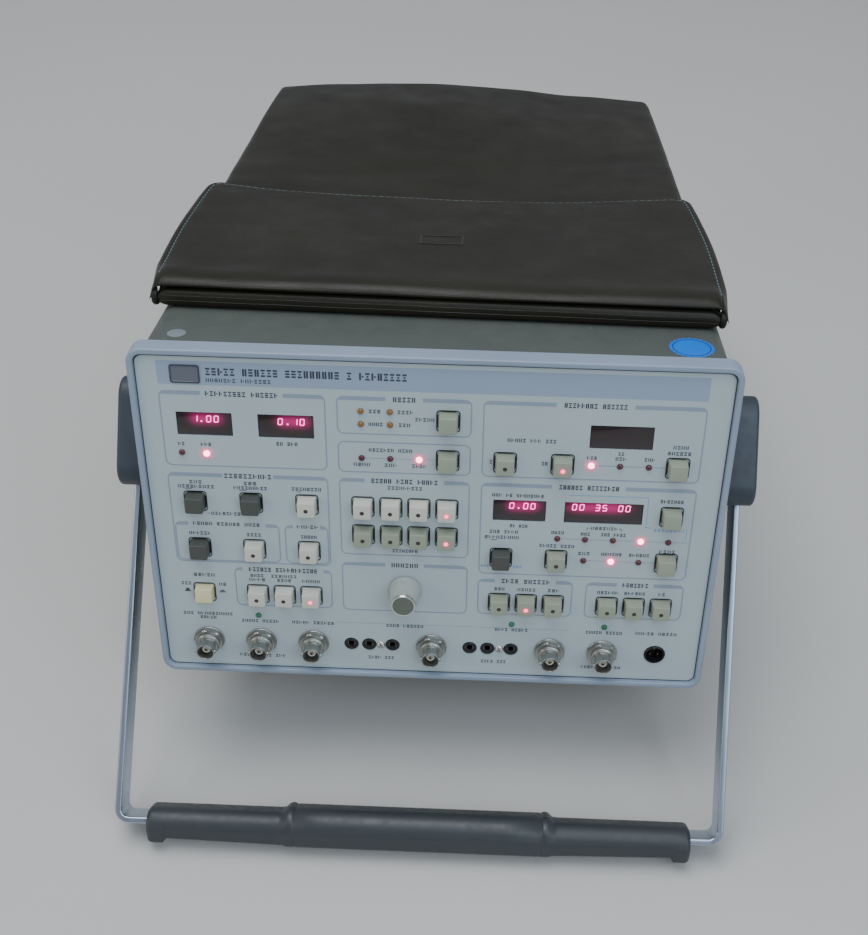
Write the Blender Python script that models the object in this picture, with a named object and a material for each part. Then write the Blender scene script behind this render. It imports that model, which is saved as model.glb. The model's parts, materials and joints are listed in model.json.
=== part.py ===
"""Telecom bench test set with a bail handle and a vinyl accessory pouch, as separate pieces.

Everything is drawn in the instrument's own level frame, in millimetres: X to the right, Y from the front of the
bezel towards the back, Z up from the bottom of the bezel. One empty, case_frame, then tilts that frame: the grip
of the bail carries the front and the rear feet of the bottom cover carry the back, with the floor at Z = 0.
"""

import math

import bmesh
import bpy
from mathutils import Matrix, Vector

MM = 0.001
GAP = 0.3  # clearance between touching pieces

# Case
WIDTH, HEIGHT = 296.6, 196.0  # outside of the front bezel
BEZEL_DEPTH, BEZEL_LIP, BEZEL_R = 10.0, 3.4, 8.0
PANEL_Y, PANEL_T = 2.7, 2.5  # how far the panel sits behind the bezel's front, and its thickness
COVER_HALF, COVER_TOP, COVER_BOTTOM, SHEET = 143.0, 195.0, 1.0, 1.5
COVER_END, REAR_END = 424.0, 436.0
REAR_HALF, REAR_R = 143.5, 9.0  # the rear bumper's half width and corners
COVER_SPLIT = 14.0  # height where the top cover meets the bottom cover
FOOT_R, FOOT_H = 9.0, 4.0
FOOT_X, FRONT_FOOT_Y, REAR_FOOT_Y = 118.0, 36.0, 413.0
INLET_LOW, INLET_HIGH, INLET_DEPTH = (88.0, 25.0), (115.5, 45.0), 16.0  # the mains inlet's mouth, in X and Z

# Front panel layout
PITCH = 14.2875  # the columns' spacing
ROW_LOCAL, ROW_RATE, ROW_UPPER, ROW_RECEIVER, ROW_MIDDLE, ROW_LOWER = 160.8, 138.6, 109.9, 93.0, 81.5, 52.7
ROW_SOCKETS = 21.3
HOLE_W, HOLE_H, HOLE_R = 10.7, 11.1, 2.4
CAP_W, CAP_H, CAP_FACE_W, CAP_FACE_H, CAP_REACH = 10.0, 10.2, 9.0, 8.6, 6.2
LATCHED_REACH = 4.7  # the power key's cap, which is latched in
FLANGE_W, FLANGE_T = 12.4, 1.2  # the key's collar behind the panel
STEM_W, STEM_REACH = 4.0, 9.0
TRAVEL = 3.0
KNOB_X, KNOB_Z, KNOB_LENGTH = -PITCH, 58.9, 15.2
CONNECTOR_COLUMNS = (-8.5, -6.5, -4.5, 0.0, 4.5, 6.5)
SOCKET_HOLES = (0.0, 9.7, 22.4)  # the three holes of a balanced socket, from its left one
SOCKET_STARTS = {"balanced_output_socket": -43.7, "balanced_input_socket": 20.8}
PROBE_COLUMN = 8.5
WINDOWS = (  # the middle and the size of each display window
    (-113.2, 154.8, 27.6, 12.9),
    (-72.9, 154.8, 27.6, 12.9),
    (92.5, 154.8, 31.2, 12.9),
    (44.1, 110.6, 26.9, 12.4),
    (86.9, 110.6, 39.9, 12.4),
)

# Bail handle
PIVOT_Y, PIVOT_Z, REST_ANGLE = 59.3, 118.4, math.radians(-29.1)
HUB_DEPTH, HUB_HEIGHT, HUB_CORNER, HUB_OUT = 60.0, 58.0, 11.0, 167.5
MOUNT_R, MOUNT_OUT = 27.0, 150.0
STRAP_OUT, STRAP_T, STRAP_W, STRAP_BEND = 163.3, 3.6, 17.3, 8.0
STRAP_TOP, STRAP_LENGTH = -10.0, -211.0  # the strap's ends and its bottom run, along the arms
LEG_START, LEG_SPLAY, LEG_LEAN = -33.0, 2.65, -4.0  # below the hubs the legs spread, and the whole U leans left
GRIP_HALF, GRIP_CENTRE_HALF = 148.2, 67.0

# Accessory pouch, standing on the cover
POUCH_Z = COVER_TOP + GAP
POUCH_FRONT, POUCH_END = 50.0, 432.0
FLAP_END, FLAP_HALF, FLAP_T, FLAP_R = 209.0, 146.0, 3.2, 12.0
MOUTH_Y, MOUTH_HALF, MOUTH_FLOOR = (66.0, 150.0), 126.0, 1.6
FLAP_HINGE_RISE = 10.5 + GAP  # height of the hinge line over the pouch's foot

COLOURS = {  # linear base colour, roughness, metallic
    "bezel": ((0.22, 0.27, 0.34), 0.45, 0.0),
    "panel": ((0.42, 0.48, 0.49), 0.5, 0.0),
    "cover": ((0.16, 0.165, 0.13), 0.5, 0.0),
    "vinyl": ((0.03, 0.032, 0.026), 0.5, 0.0),
    "dark_plastic": ((0.06, 0.065, 0.07), 0.5, 0.0),
    "strap_metal": ((0.62, 0.66, 0.72), 0.3, 1.0),
    "nickel": ((0.55, 0.53, 0.48), 0.35, 1.0),
    "knob_grey": ((0.42, 0.44, 0.38), 0.4, 0.3),
    "key_grey": ((0.30, 0.33, 0.25), 0.5, 0.0),
    "key_white": ((0.60, 0.60, 0.54), 0.5, 0.0),
    "key_dark": ((0.055, 0.06, 0.055), 0.5, 0.0),
    "key_cream": ((0.80, 0.76, 0.50), 0.5, 0.0),
    "black_plastic": ((0.012, 0.012, 0.014), 0.4, 0.0),
    "board": ((0.03, 0.12, 0.05), 0.6, 0.0),
    "steel": ((0.35, 0.35, 0.36), 0.45, 0.8),
}

BUTTONS = (  # name, column in pitches from the middle, height, colour
    ("local", 0.5, ROW_LOCAL, "key_grey"),
    ("display_rate", 0.5, ROW_RATE, "key_grey"),
    ("range_low", 2.5, ROW_RATE, "key_grey"),
    ("range_high", 4.5, ROW_RATE, "key_grey"),
    ("peak_select", 8.5, ROW_RATE, "key_grey"),
    ("set_frequency", -8.5, ROW_UPPER, "key_dark"),
    ("set_amplitude", -6.5, ROW_UPPER, "key_dark"),
    ("external", -4.5, ROW_UPPER, "key_white"),
    ("generator_1", -2.5, ROW_UPPER, "key_white"),
    ("generator_2", -1.5, ROW_UPPER, "key_white"),
    ("generator_3", -0.5, ROW_UPPER, "key_white"),
    ("generator_4", 0.5, ROW_UPPER, "key_white"),
    ("display", 8.5, ROW_UPPER, "key_grey"),
    ("receiver_1", -2.5, ROW_RECEIVER, "key_grey"),
    ("receiver_2", -1.5, ROW_RECEIVER, "key_grey"),
    ("receiver_3", -0.5, ROW_RECEIVER, "key_grey"),
    ("receiver_4", 0.5, ROW_RECEIVER, "key_grey"),
    ("manual", -8.5, ROW_MIDDLE, "key_dark"),
    ("auto", -6.5, ROW_MIDDLE, "key_white"),
    ("external_clock", -4.5, ROW_MIDDLE, "key_white"),
    ("threshold", 2.5, ROW_MIDDLE, "key_dark"),
    ("start_stop", 4.5, ROW_MIDDLE, "key_grey"),
    ("mode", 8.5, ROW_MIDDLE, "key_grey"),
    ("power", -8.5, ROW_LOWER, "key_cream"),
    ("apply_1", -6.5, ROW_LOWER, "key_white"),
    ("apply_2", -5.5, ROW_LOWER, "key_white"),
    ("apply_3", -4.5, ROW_LOWER, "key_white"),
    ("format_1", 2.5, ROW_LOWER, "key_grey"),
    ("format_2", 3.5, ROW_LOWER, "key_grey"),
    ("format_3", 4.5, ROW_LOWER, "key_grey"),
    ("filter_1", 6.5, ROW_LOWER, "key_grey"),
    ("filter_2", 7.5, ROW_LOWER, "key_grey"),
    ("filter_3", 8.5, ROW_LOWER, "key_grey"),
)


# ---------------------------------------------------------------- general tools


def clear_scene():
    for obj in list(bpy.data.objects):
        bpy.data.objects.remove(obj, do_unlink=True)


def material(key):
    found = bpy.data.materials.get(key)
    if found:
        return found
    colour, roughness, metallic = COLOURS[key]
    made = bpy.data.materials.new(key)
    made.use_nodes = True
    shader = made.node_tree.nodes["Principled BSDF"]
    shader.inputs["Base Color"].default_value = (*colour, 1)
    shader.inputs["Roughness"].default_value = roughness
    shader.inputs["Metallic"].default_value = metallic
    made.diffuse_color = (*colour, 1)
    return made


def empty(name, parent=None, at=(0, 0, 0)):
    made = bpy.data.objects.new(name, None)
    bpy.context.scene.collection.objects.link(made)
    made.parent = parent
    made.location = Vector(at) * MM
    return made


def place(name, mesh_tool, key, parent, at=(0, 0, 0), smooth_angle=35):
    """One named object from a bmesh in millimetres, at a place in its parent's frame."""
    bmesh.ops.recalc_face_normals(mesh_tool, faces=mesh_tool.faces)
    mesh_tool.transform(Matrix.Scale(MM, 4))
    mesh = bpy.data.meshes.new(name)
    mesh_tool.to_mesh(mesh)
    mesh_tool.free()
    mesh.shade_smooth()
    mesh.set_sharp_from_angle(angle=math.radians(smooth_angle))
    if key:
        mesh.materials.append(material(key))
    made = bpy.data.objects.new(name, mesh)
    bpy.context.scene.collection.objects.link(made)
    made.parent = parent
    made.location = Vector(at) * MM
    return made


def cutter(name, mesh_tool, parent, at=(0, 0, 0)):
    made = place(name, mesh_tool, None, parent, at)
    made.hide_render = True
    made.display_type = "WIRE"
    return made


def boolean(obj, other, operation="DIFFERENCE"):
    added = obj.modifiers.new(other.name, "BOOLEAN")
    added.operation = operation
    added.solver = "EXACT"
    added.object = other


def rounded_rectangle(width, height, radius, steps, middle=(0.0, 0.0)):
    """Points round a rectangle with round corners, anticlockwise from the right of the bottom side."""
    points = []
    corners = ((1, -1, -90), (1, 1, 0), (-1, 1, 90), (-1, -1, 180))
    for side, end, start in corners:
        centre_a = middle[0] + side * (width / 2 - radius)
        centre_b = middle[1] + end * (height / 2 - radius)
        for step in range(steps + 1):
            angle = math.radians(start + 90 * step / steps)
            points.append((centre_a + radius * math.cos(angle), centre_b + radius * math.sin(angle)))
    return points


def at_y(points, y):
    return [(a, y, b) for a, b in points]


def at_x(points, x):
    return [(x, a, b) for a, b in points]


def loft(loops, ring=False):
    """Skin between loops of equally many points, closed by caps, or closed on itself as a ring."""
    tool = bmesh.new()
    add_loft(tool, loops, ring)
    return tool


def add_loft(tool, loops, ring=False):
    rows = [[tool.verts.new(point) for point in loop] for loop in loops]
    count = len(rows[0])
    pairs = list(zip(rows, rows[1:] + rows[:1])) if ring else list(zip(rows, rows[1:]))
    for first, second in pairs:
        for i in range(count):
            j = (i + 1) % count
            tool.faces.new((first[i], first[j], second[j], second[i]))
    if not ring:
        tool.faces.new(rows[0])
        tool.faces.new(rows[-1])


def prism(points, y_from, y_to):
    return loft([at_y(points, y_from), at_y(points, y_to)])


def add_box(tool, low, high):
    outline = [(low[0], low[2]), (high[0], low[2]), (high[0], high[2]), (low[0], high[2])]
    add_loft(tool, [at_y(outline, low[1]), at_y(outline, high[1])])


def box(low, high):
    tool = bmesh.new()
    add_box(tool, low, high)
    return tool


def circle(radius, steps, middle=(0.0, 0.0), turn=0.0):
    angles = (2 * math.pi * (i + turn) / steps for i in range(steps))
    return [(middle[0] + radius * math.cos(a), middle[1] + radius * math.sin(a)) for a in angles]


def turned(profile, steps, middle=(0.0, 0.0), along="Y"):
    """A turned piece: profile holds (place along the axis, radius) from one end to the other."""
    put = at_y if along == "Y" else at_x
    return loft([put(circle(radius, steps, middle), place_along) for place_along, radius in profile])


# ---------------------------------------------------------------- case


def bezel(parent):
    """The frame round the panel: an outer skin with a rounded front edge, a pocket for the panel, a rear ledge."""
    steps = 4

    def loop(inset, y, radius):
        return at_y(
            rounded_rectangle(WIDTH - 2 * inset, HEIGHT - 2 * inset, radius, steps, (0, HEIGHT / 2)), y
        )

    ledge = BEZEL_LIP + 5.0
    loops = [
        loop(0.0, BEZEL_DEPTH, BEZEL_R),
        loop(0.0, 1.4, BEZEL_R),
        loop(0.45, 0.45, BEZEL_R - 0.4),
        loop(1.4, 0.0, BEZEL_R - 1.2),
        loop(BEZEL_LIP - 0.6, 0.0, BEZEL_R - 3.2),
        loop(BEZEL_LIP, 0.6, BEZEL_R - 3.8),
        loop(BEZEL_LIP, PANEL_Y + PANEL_T + GAP, BEZEL_R - 3.8),
        loop(ledge, PANEL_Y + PANEL_T + GAP, 4.0),
        loop(ledge, BEZEL_DEPTH, 4.0),
    ]
    return place("front_bezel", loft(loops, ring=True), "bezel", parent)


def panel_holes():
    """Every hole of the front panel, as one set of cutting pieces."""
    tool = bmesh.new()
    low, high = PANEL_Y - 2, PANEL_Y + PANEL_T + 2
    for _, column, height, _ in BUTTONS:
        outline = rounded_rectangle(HOLE_W, HOLE_H, HOLE_R, 2, (column * PITCH, height))
        add_loft(tool, [at_y(outline, low), at_y(outline, high)])
    for x, z, width, height in WINDOWS:
        add_box(tool, (x - width / 2, low, z - height / 2), (x + width / 2, high, z + height / 2))
    rounds = [(column * PITCH, ROW_SOCKETS, 6.3) for column in CONNECTOR_COLUMNS]
    rounds += [
        (start + hole, ROW_SOCKETS, 4.0) for start in SOCKET_STARTS.values() for hole in SOCKET_HOLES
    ]
    rounds += [(PROBE_COLUMN * PITCH, ROW_SOCKETS, 5.9), (KNOB_X, KNOB_Z, 3.8)]
    for x, z, radius in rounds:
        outline = circle(radius, 16, (x, z))
        add_loft(tool, [at_y(outline, low), at_y(outline, high)])
    return tool


def front_panel(parent):
    inset = BEZEL_LIP + 0.4
    outline = rounded_rectangle(
        WIDTH - 2 * inset, HEIGHT - 2 * inset, BEZEL_R - 4.2, 4, (0, HEIGHT / 2)
    )
    made = place("front_panel", prism(outline, PANEL_Y, PANEL_Y + PANEL_T), "panel", parent)
    boolean(made, cutter("panel_holes", panel_holes(), parent))
    return made


def bent_sheet(half, low, high, radius, opening_down):
    """The outline of a sheet folded into a U, open below or above."""
    steps = 4

    def half_outline(inset):
        corner = radius - inset
        top = (high if opening_down else low) + (-inset if opening_down else inset)
        free = low if opening_down else high
        turn = 1 if opening_down else -1
        points = [(half - inset, free)]
        for step in range(steps + 1):
            angle = math.radians(90 * step / steps)
            points.append(
                (
                    half - inset - corner + corner * math.cos(angle),
                    top - turn * corner + turn * corner * math.sin(angle),
                )
            )
        return points

    outer, inner = half_outline(0.0), half_outline(SHEET)
    whole_outer = outer + [(-x, z) for x, z in reversed(outer)]
    whole_inner = inner + [(-x, z) for x, z in reversed(inner)]
    return whole_outer + list(reversed(whole_inner))


def covers(parent):
    start = BEZEL_DEPTH + GAP
    top = bent_sheet(COVER_HALF, COVER_SPLIT + GAP, COVER_TOP, 8.0, opening_down=True)
    place("top_cover", prism(top, start, COVER_END), "cover", parent)
    bottom = bent_sheet(COVER_HALF, COVER_BOTTOM, COVER_SPLIT, 8.0, opening_down=False)
    made = place("bottom_cover", prism(bottom, start, COVER_END), "cover", parent)
    feet = bmesh.new()
    for x in (-FOOT_X, FOOT_X):
        for y in (FRONT_FOOT_Y, REAR_FOOT_Y):
            levels = ((COVER_BOTTOM + 1, FOOT_R), (COVER_BOTTOM + 0.4 - FOOT_H, FOOT_R - 0.6))
            levels += ((COVER_BOTTOM - FOOT_H, FOOT_R - 1.4),)
            add_loft(feet, [[(a, b, z) for a, b in circle(r, 16, (x, y))] for z, r in levels])
    boolean(made, cutter("bottom_feet", feet, parent), "UNION")


def rear_panel(parent):
    """A bumper frame round a thin recessed plate, with the housing of the mains inlet behind the plate."""
    steps = 4
    rim, recess, plate, start = 7.0, 6.0, 2.5, COVER_END + GAP
    inner_r = 4.0
    height, middle = COVER_TOP - COVER_BOTTOM, (COVER_TOP + COVER_BOTTOM) / 2

    def loop(inset, y, radius):
        return at_y(
            rounded_rectangle(2 * (REAR_HALF - inset), height - 2 * inset, radius, steps, (0, middle)), y
        )

    loops = [
        loop(rim, REAR_END - recess - plate, inner_r),
        loop(rim, start, inner_r),
        loop(0.0, start, REAR_R),
        loop(0.0, REAR_END - 1.4, REAR_R),
        loop(1.4, REAR_END, REAR_R - 1.2),
        loop(rim - 0.8, REAR_END, inner_r),
        loop(rim, REAR_END - 0.8, inner_r),
        loop(rim, REAR_END - recess, inner_r),
    ]
    made = place("rear_panel", loft(loops), "bezel", parent)
    low, high, wall = INLET_LOW, INLET_HIGH, 2.0
    face = REAR_END - recess
    housing = box(
        (low[0] - wall, face - INLET_DEPTH - wall, low[1] - wall), (high[0] + wall, face - 1, high[1] + wall)
    )
    boolean(made, cutter("inlet_housing", housing, parent), "UNION")
    pocket = box((low[0], face - INLET_DEPTH, low[1]), (high[0], face + 1, high[1]))
    boolean(made, cutter("inlet_pocket", pocket, parent))


# ---------------------------------------------------------------- things on the panel


def button(name, column, height, key, parent):
    """A key cap in its hole, with a collar and a stem behind the panel; its origin is on the panel's face."""
    reach = LATCHED_REACH if name == "power" else CAP_REACH
    front = rounded_rectangle(CAP_FACE_W - 1.0, CAP_FACE_H - 1.0, 0.8, 1)
    edge = rounded_rectangle(CAP_FACE_W, CAP_FACE_H, 1.2, 1)
    base = rounded_rectangle(CAP_W, CAP_H, 1.6, 1)
    flange = rounded_rectangle(FLANGE_W, FLANGE_W, 1.6, 1)
    stem = rounded_rectangle(STEM_W, STEM_W, 0.5, 1)
    behind = PANEL_T + GAP
    tool = loft(
        [
            at_y(front, -reach),
            at_y(edge, 0.6 - reach),
            at_y(base, behind),
            at_y(flange, behind),
            at_y(flange, behind + FLANGE_T),
            at_y(stem, behind + FLANGE_T),
            at_y(stem, STEM_REACH),
        ]
    )
    return place("button_" + name, tool, key, parent, (column * PITCH, PANEL_Y, height))


def knob(parent):
    """Knob and shaft; the origin is on the axis at the panel face."""
    front = -KNOB_LENGTH
    profile = [
        (front + 0.8, 5.2),
        (front, 5.6),
        (front + 0.9, 6.5),
        (-2.6, 7.9),
        (-2.5, 8.9),
        (-0.6, 8.9),
        (-0.6, 3.1),
        (11.0, 3.1),
    ]
    place("knob", turned(profile, 24), "knob_grey", parent)


def encoder(parent):
    tool = box((KNOB_X - 10, 8.0, KNOB_Z - 10), (KNOB_X + 10, 15.2, KNOB_Z + 10))
    made = place("knob_encoder", tool, "steel", parent)
    bore = prism(circle(3.8, 16, (KNOB_X, KNOB_Z)), 6.0, 20.0)
    boolean(made, cutter("encoder_bore", bore, parent))


def connector(name, column, parent):
    """A coaxial bulkhead connector: solder end, shank, nut, body, barrel and its inner sleeve."""
    face = PANEL_Y
    profile = [
        (face + 9.0, 2.6),
        (face + 5.0, 2.6),
        (face + 5.0, 5.9),
        (face - GAP, 5.9),
        (face - GAP, 8.45),
        (face - 3.2, 8.0),
        (face - 3.2, 6.3),
        (face - 5.6, 6.3),
        (face - 5.6, 4.85),
        (face - 12.8, 4.85),
        (face - 12.8, 4.15),
        (face - 6.5, 4.15),
        (face - 6.5, 2.4),
        (face - 11.6, 2.2),
    ]
    place(name, turned(profile, 16, (column * PITCH, ROW_SOCKETS)), "nickel", parent)


def balanced_socket(name, start, parent):
    """A black block behind the panel, with a round boss in each of the panel's three holes."""
    top = PANEL_Y + PANEL_T + GAP
    body = box((start - 6, top, ROW_SOCKETS - 6.5), (start + 28.4, top + 6, ROW_SOCKETS + 6.5))
    made = place(name, body, "black_plastic", parent)
    bosses, bores = bmesh.new(), bmesh.new()
    for hole in SOCKET_HOLES:
        middle = (start + hole, ROW_SOCKETS)
        add_loft(bosses, [at_y(circle(3.65, 16, middle), y) for y in (PANEL_Y - 0.2, top + 1)])
        add_loft(bores, [at_y(circle(2.1, 12, middle), y) for y in (PANEL_Y - 2, top + 4)])
    boolean(made, cutter(name + "_bosses", bosses, parent), "UNION")
    boolean(made, cutter(name + "_bores", bores, parent))


def probe_jack(parent):
    profile = [
        (PANEL_Y + 12, 4.6),
        (PANEL_Y + PANEL_T + GAP, 4.6),
        (PANEL_Y + PANEL_T + GAP, 5.6),
        (PANEL_Y - 0.3, 5.6),
        (PANEL_Y - 0.3, 4.8),
        (PANEL_Y + 6, 4.8),
    ]
    middle = (PROBE_COLUMN * PITCH, ROW_SOCKETS)
    place("probe_power_jack", turned(profile, 20, middle), "black_plastic", parent)


def display_board(parent):
    """The circuit board behind the panel, with a display block standing in each window."""
    board_y = PANEL_Y + STEM_REACH + TRAVEL + 1.8
    made = place("display_board", box((-136, board_y, 33), (136, board_y + 1.6, 184)), "board", parent)
    blocks = bmesh.new()
    for x, z, width, height in WINDOWS:
        half_w, half_h = width / 2 - GAP, height / 2 - GAP
        add_box(blocks, (x - half_w, PANEL_Y + 0.8, z - half_h), (x + half_w, board_y + 0.5, z + half_h))
    boolean(made, cutter("display_blocks", blocks, parent), "UNION")


# ---------------------------------------------------------------- inner pieces


def inner_pieces(parent):
    board = place("main_board", box((-120, 70, 26), (60, 380, 27.6)), "board", parent)
    parts = bmesh.new()
    for row in range(4):
        for column in range(3):
            x, y = -95 + 55 * column, 100 + 70 * row
            add_box(parts, (x, y, 27.0), (x + 34, y + 12, 32.0))
    boolean(board, cutter("board_parts", parts, parent), "UNION")
    core = place("mains_transformer", box((76, 330, 8), (130, 400, 70)), "steel", parent)
    winding = box((68, 345, 16), (138, 385, 62))
    boolean(core, cutter("transformer_winding", winding, parent), "UNION")


# ---------------------------------------------------------------- bail handle


def handle_mounts(case):
    """The fixed discs on the cover's sides, each with a stub that the hub turns on."""
    for side, word in ((-1, "left"), (1, "right")):
        profile = [
            (side * (COVER_HALF + GAP), MOUNT_R - 1),
            (side * (COVER_HALF + 2), MOUNT_R),
            (side * (MOUNT_OUT - 0.5), MOUNT_R),
            (side * MOUNT_OUT, MOUNT_R - 0.5),
            (side * MOUNT_OUT, 6.0),
            (side * (MOUNT_OUT + 4), 6.0),
        ]
        tool = turned(profile, 32, (PIVOT_Y, PIVOT_Z), along="X")
        place("handle_mount_" + word, tool, "dark_plastic", case)


def hub_loop(x, inset):
    outline = rounded_rectangle(HUB_DEPTH - 2 * inset, HUB_HEIGHT - 2 * inset, HUB_CORNER - inset, 6)
    return at_x(outline, x)


def handle_hubs(pivot):
    """The turning blocks: each has a round bore for the stub, and a pocket that holds one end of the strap."""
    inner = MOUNT_OUT + GAP
    for side, word in ((-1, "left"), (1, "right")):
        block = loft([
            hub_loop(side * inner, 0.0),
            hub_loop(side * (HUB_OUT - 1.8), 0.0),
            hub_loop(side * (HUB_OUT - 0.5), 0.6),
            hub_loop(side * HUB_OUT, 2.0),
        ])
        made = place("handle_hub_" + word, block, "dark_plastic", pivot)
        bore = turned([(side * (inner - 1), 6.6), (side * (inner + 4.5), 6.6)], 32, along="X")
        boolean(made, cutter("stub_bore_" + word, bore, pivot))
        reach = sorted((side * (STRAP_OUT - STRAP_T - GAP), side * (STRAP_OUT + GAP)))
        slot = box(
            (reach[0], -STRAP_W / 2 - GAP, -HUB_HEIGHT), (reach[1], STRAP_W / 2 + GAP, STRAP_TOP + GAP)
        )
        boolean(made, cutter("strap_pocket_" + word, slot, pivot))


def leaned(points):
    """Moves points of the U, seen from the front: its legs spread below the hubs, and it leans to one side."""
    moved = []
    for x, z in points:
        share = max(0.0, (LEG_START - z) / (LEG_START - STRAP_LENGTH))
        moved.append((x + share * (LEG_LEAN + LEG_SPLAY * x / STRAP_OUT), z))
    return moved


def strap_outline(outer, bottom, bend, top):
    """The U that the strap follows, from its right end down and round to its left end."""
    steps = 4
    points = [(outer, top), (outer, LEG_START)]
    for step in range(steps + 1):
        angle = math.radians(-90 * step / steps)
        points.append((outer - bend + bend * math.cos(angle), bottom + bend + bend * math.sin(angle)))
    return leaned(points + [(-x, z) for x, z in reversed(points)])


def handle_strap(pivot):
    outside = strap_outline(STRAP_OUT, STRAP_LENGTH - STRAP_T, STRAP_BEND, STRAP_TOP)
    inside = strap_outline(STRAP_OUT - STRAP_T, STRAP_LENGTH, STRAP_BEND - STRAP_T, STRAP_TOP)
    outline = outside + list(reversed(inside))
    place("handle_strap", prism(outline, -STRAP_W / 2, STRAP_W / 2), "strap_metal", pivot)


def grip_section(x, top, bottom, depth, top_r=8.0):
    """A cross-section of the grip: a round upper part, and below it two flats that lean in to a narrower base."""
    steps = 3
    half, waist, base = depth / 2, bottom + 0.42 * (top - bottom), depth / 2 - 3.4
    points = [(base - 1.6, bottom), (base, bottom + 1.2), (half, waist)]
    for step in range(steps + 1):
        angle = math.radians(90 * step / steps)
        points.append((half - top_r + top_r * math.cos(angle), top - top_r + top_r * math.sin(angle)))
    return at_x(points + [(-a, b) for a, b in reversed(points)], x + LEG_LEAN)


def handle_grip(pivot):
    """The moulded grip: a thicker middle, two ends with rounded caps, and a foot at each end."""
    end_top, end_bottom, end_depth = -206.0, -222.6, 23.0
    inner_bottom = -224.0
    mid_top, mid_bottom, mid_depth = -203.7, -224.5, 25.0
    foot_bottom, foot_length = -225.2, 9.0
    half = [
        grip_section(GRIP_HALF, end_top - 2.6, foot_bottom + 2.6, end_depth - 4, 6.0),
        grip_section(GRIP_HALF - 1.0, end_top - 1.0, foot_bottom + 0.9, end_depth - 1.6, 7.4),
        grip_section(GRIP_HALF - 2.8, end_top, foot_bottom, end_depth),
        grip_section(GRIP_HALF - foot_length, end_top, foot_bottom, end_depth),
        grip_section(GRIP_HALF - foot_length - 0.8, end_top, end_bottom, end_depth),
        grip_section(GRIP_CENTRE_HALF + 6, end_top, inner_bottom, end_depth + 0.6),
        grip_section(GRIP_CENTRE_HALF, mid_top, mid_bottom, mid_depth, 9.0),
    ]
    low, high = STRAP_LENGTH - STRAP_T - GAP, STRAP_LENGTH + GAP
    mirrored = [[(2 * LEG_LEAN - x, y, z) for x, y, z in loop] for loop in reversed(half)]
    made = place("handle_grip", loft(half + mirrored), "dark_plastic", pivot)
    reach = GRIP_HALF + 10
    tunnel = box((-reach, -STRAP_W / 2 - GAP, low), (reach, STRAP_W / 2 + GAP, high))
    boolean(made, cutter("grip_tunnel", tunnel, pivot))


# ---------------------------------------------------------------- pouch


def blend(value, table):
    """Straight-line reading of a table of (place, size) pairs."""
    for (a, size_a), (b, size_b) in zip(table, table[1:]):
        if value <= b:
            return size_a + (size_b - size_a) * max(0.0, (value - a) / (b - a))
    return table[-1][1]


POUCH_HALF = ((50, 143.0), (60, 144.0), (215, 142.0), (425, 138.5))
FRONT_RISE = 10.5
SAG_RISE = ((-144, 12.3), (-94, 8.3), (-8, 5.9), (65, 6.4), (137, 10.2))  # by X, under the flap's free edge
REAR_RISE = (  # by X, at the back, where the bag is fullest left of the middle
    (-138, 16.9),
    (-87, 19.8),
    (-49, 22.4),
    (-19, 22.5),
    (11, 20.4),
    (41, 18.7),
    (72, 15.4),
    (102, 14.1),
    (136, 12.8),
)
SAG_SHARE = ((50, 0.0), (130, 0.35), (209, 1.0))  # by Y
REAR_SHARE = ((209, 0.0), (300, 0.5), (370, 0.9), (425, 1.0))


def pouch_rise(x, y):
    """Height of the pouch's upper skin over the cover: sagging behind the flap, humped at the back."""
    sag, share = blend(x, SAG_RISE), blend(y, SAG_SHARE)
    front = FRONT_RISE + (sag - FRONT_RISE) * share
    return front + (blend(x, REAR_RISE) - front) * blend(y, REAR_SHARE)


def pouch_section(y, inset=0.0, drop=0.0):
    """A cross-section of the pouch: flat below, rounded sides, and the skin's height above."""
    half = blend(y, POUCH_HALF) - inset
    points = [(-half + 1.5, POUCH_Z), (half - 1.5, POUCH_Z), (half, POUCH_Z + 3.0)]
    columns = 12
    for i in range(columns + 1):
        x = half - 1.5 - (2 * half - 3.0) * i / columns
        points.append((x, POUCH_Z + pouch_rise(x, y) - drop))
    points.append((-half, POUCH_Z + 3.0))
    return at_y(points, y)


def pouch(case):
    stations = [60.0, 95.0, 130.0, 170.0, 210.0, 255.0, 300.0, 350.0, 400.0, 425.0]
    loops = [pouch_section(POUCH_FRONT, 3.0, 4.0), pouch_section(POUCH_FRONT + 3, 1.0, 1.0)]
    loops += [pouch_section(y) for y in stations]
    loops += [pouch_section(POUCH_END - 2, 1.0, 1.5), pouch_section(POUCH_END, 3.0, 5.0)]
    made = place("pouch_body", loft(loops), "vinyl", case, smooth_angle=50)
    mouth = box(
        (-MOUTH_HALF, MOUTH_Y[0], POUCH_Z + MOUTH_FLOOR), (MOUTH_HALF, MOUTH_Y[1], POUCH_Z + 30)
    )
    boolean(made, cutter("pouch_mouth", mouth, case))


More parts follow.
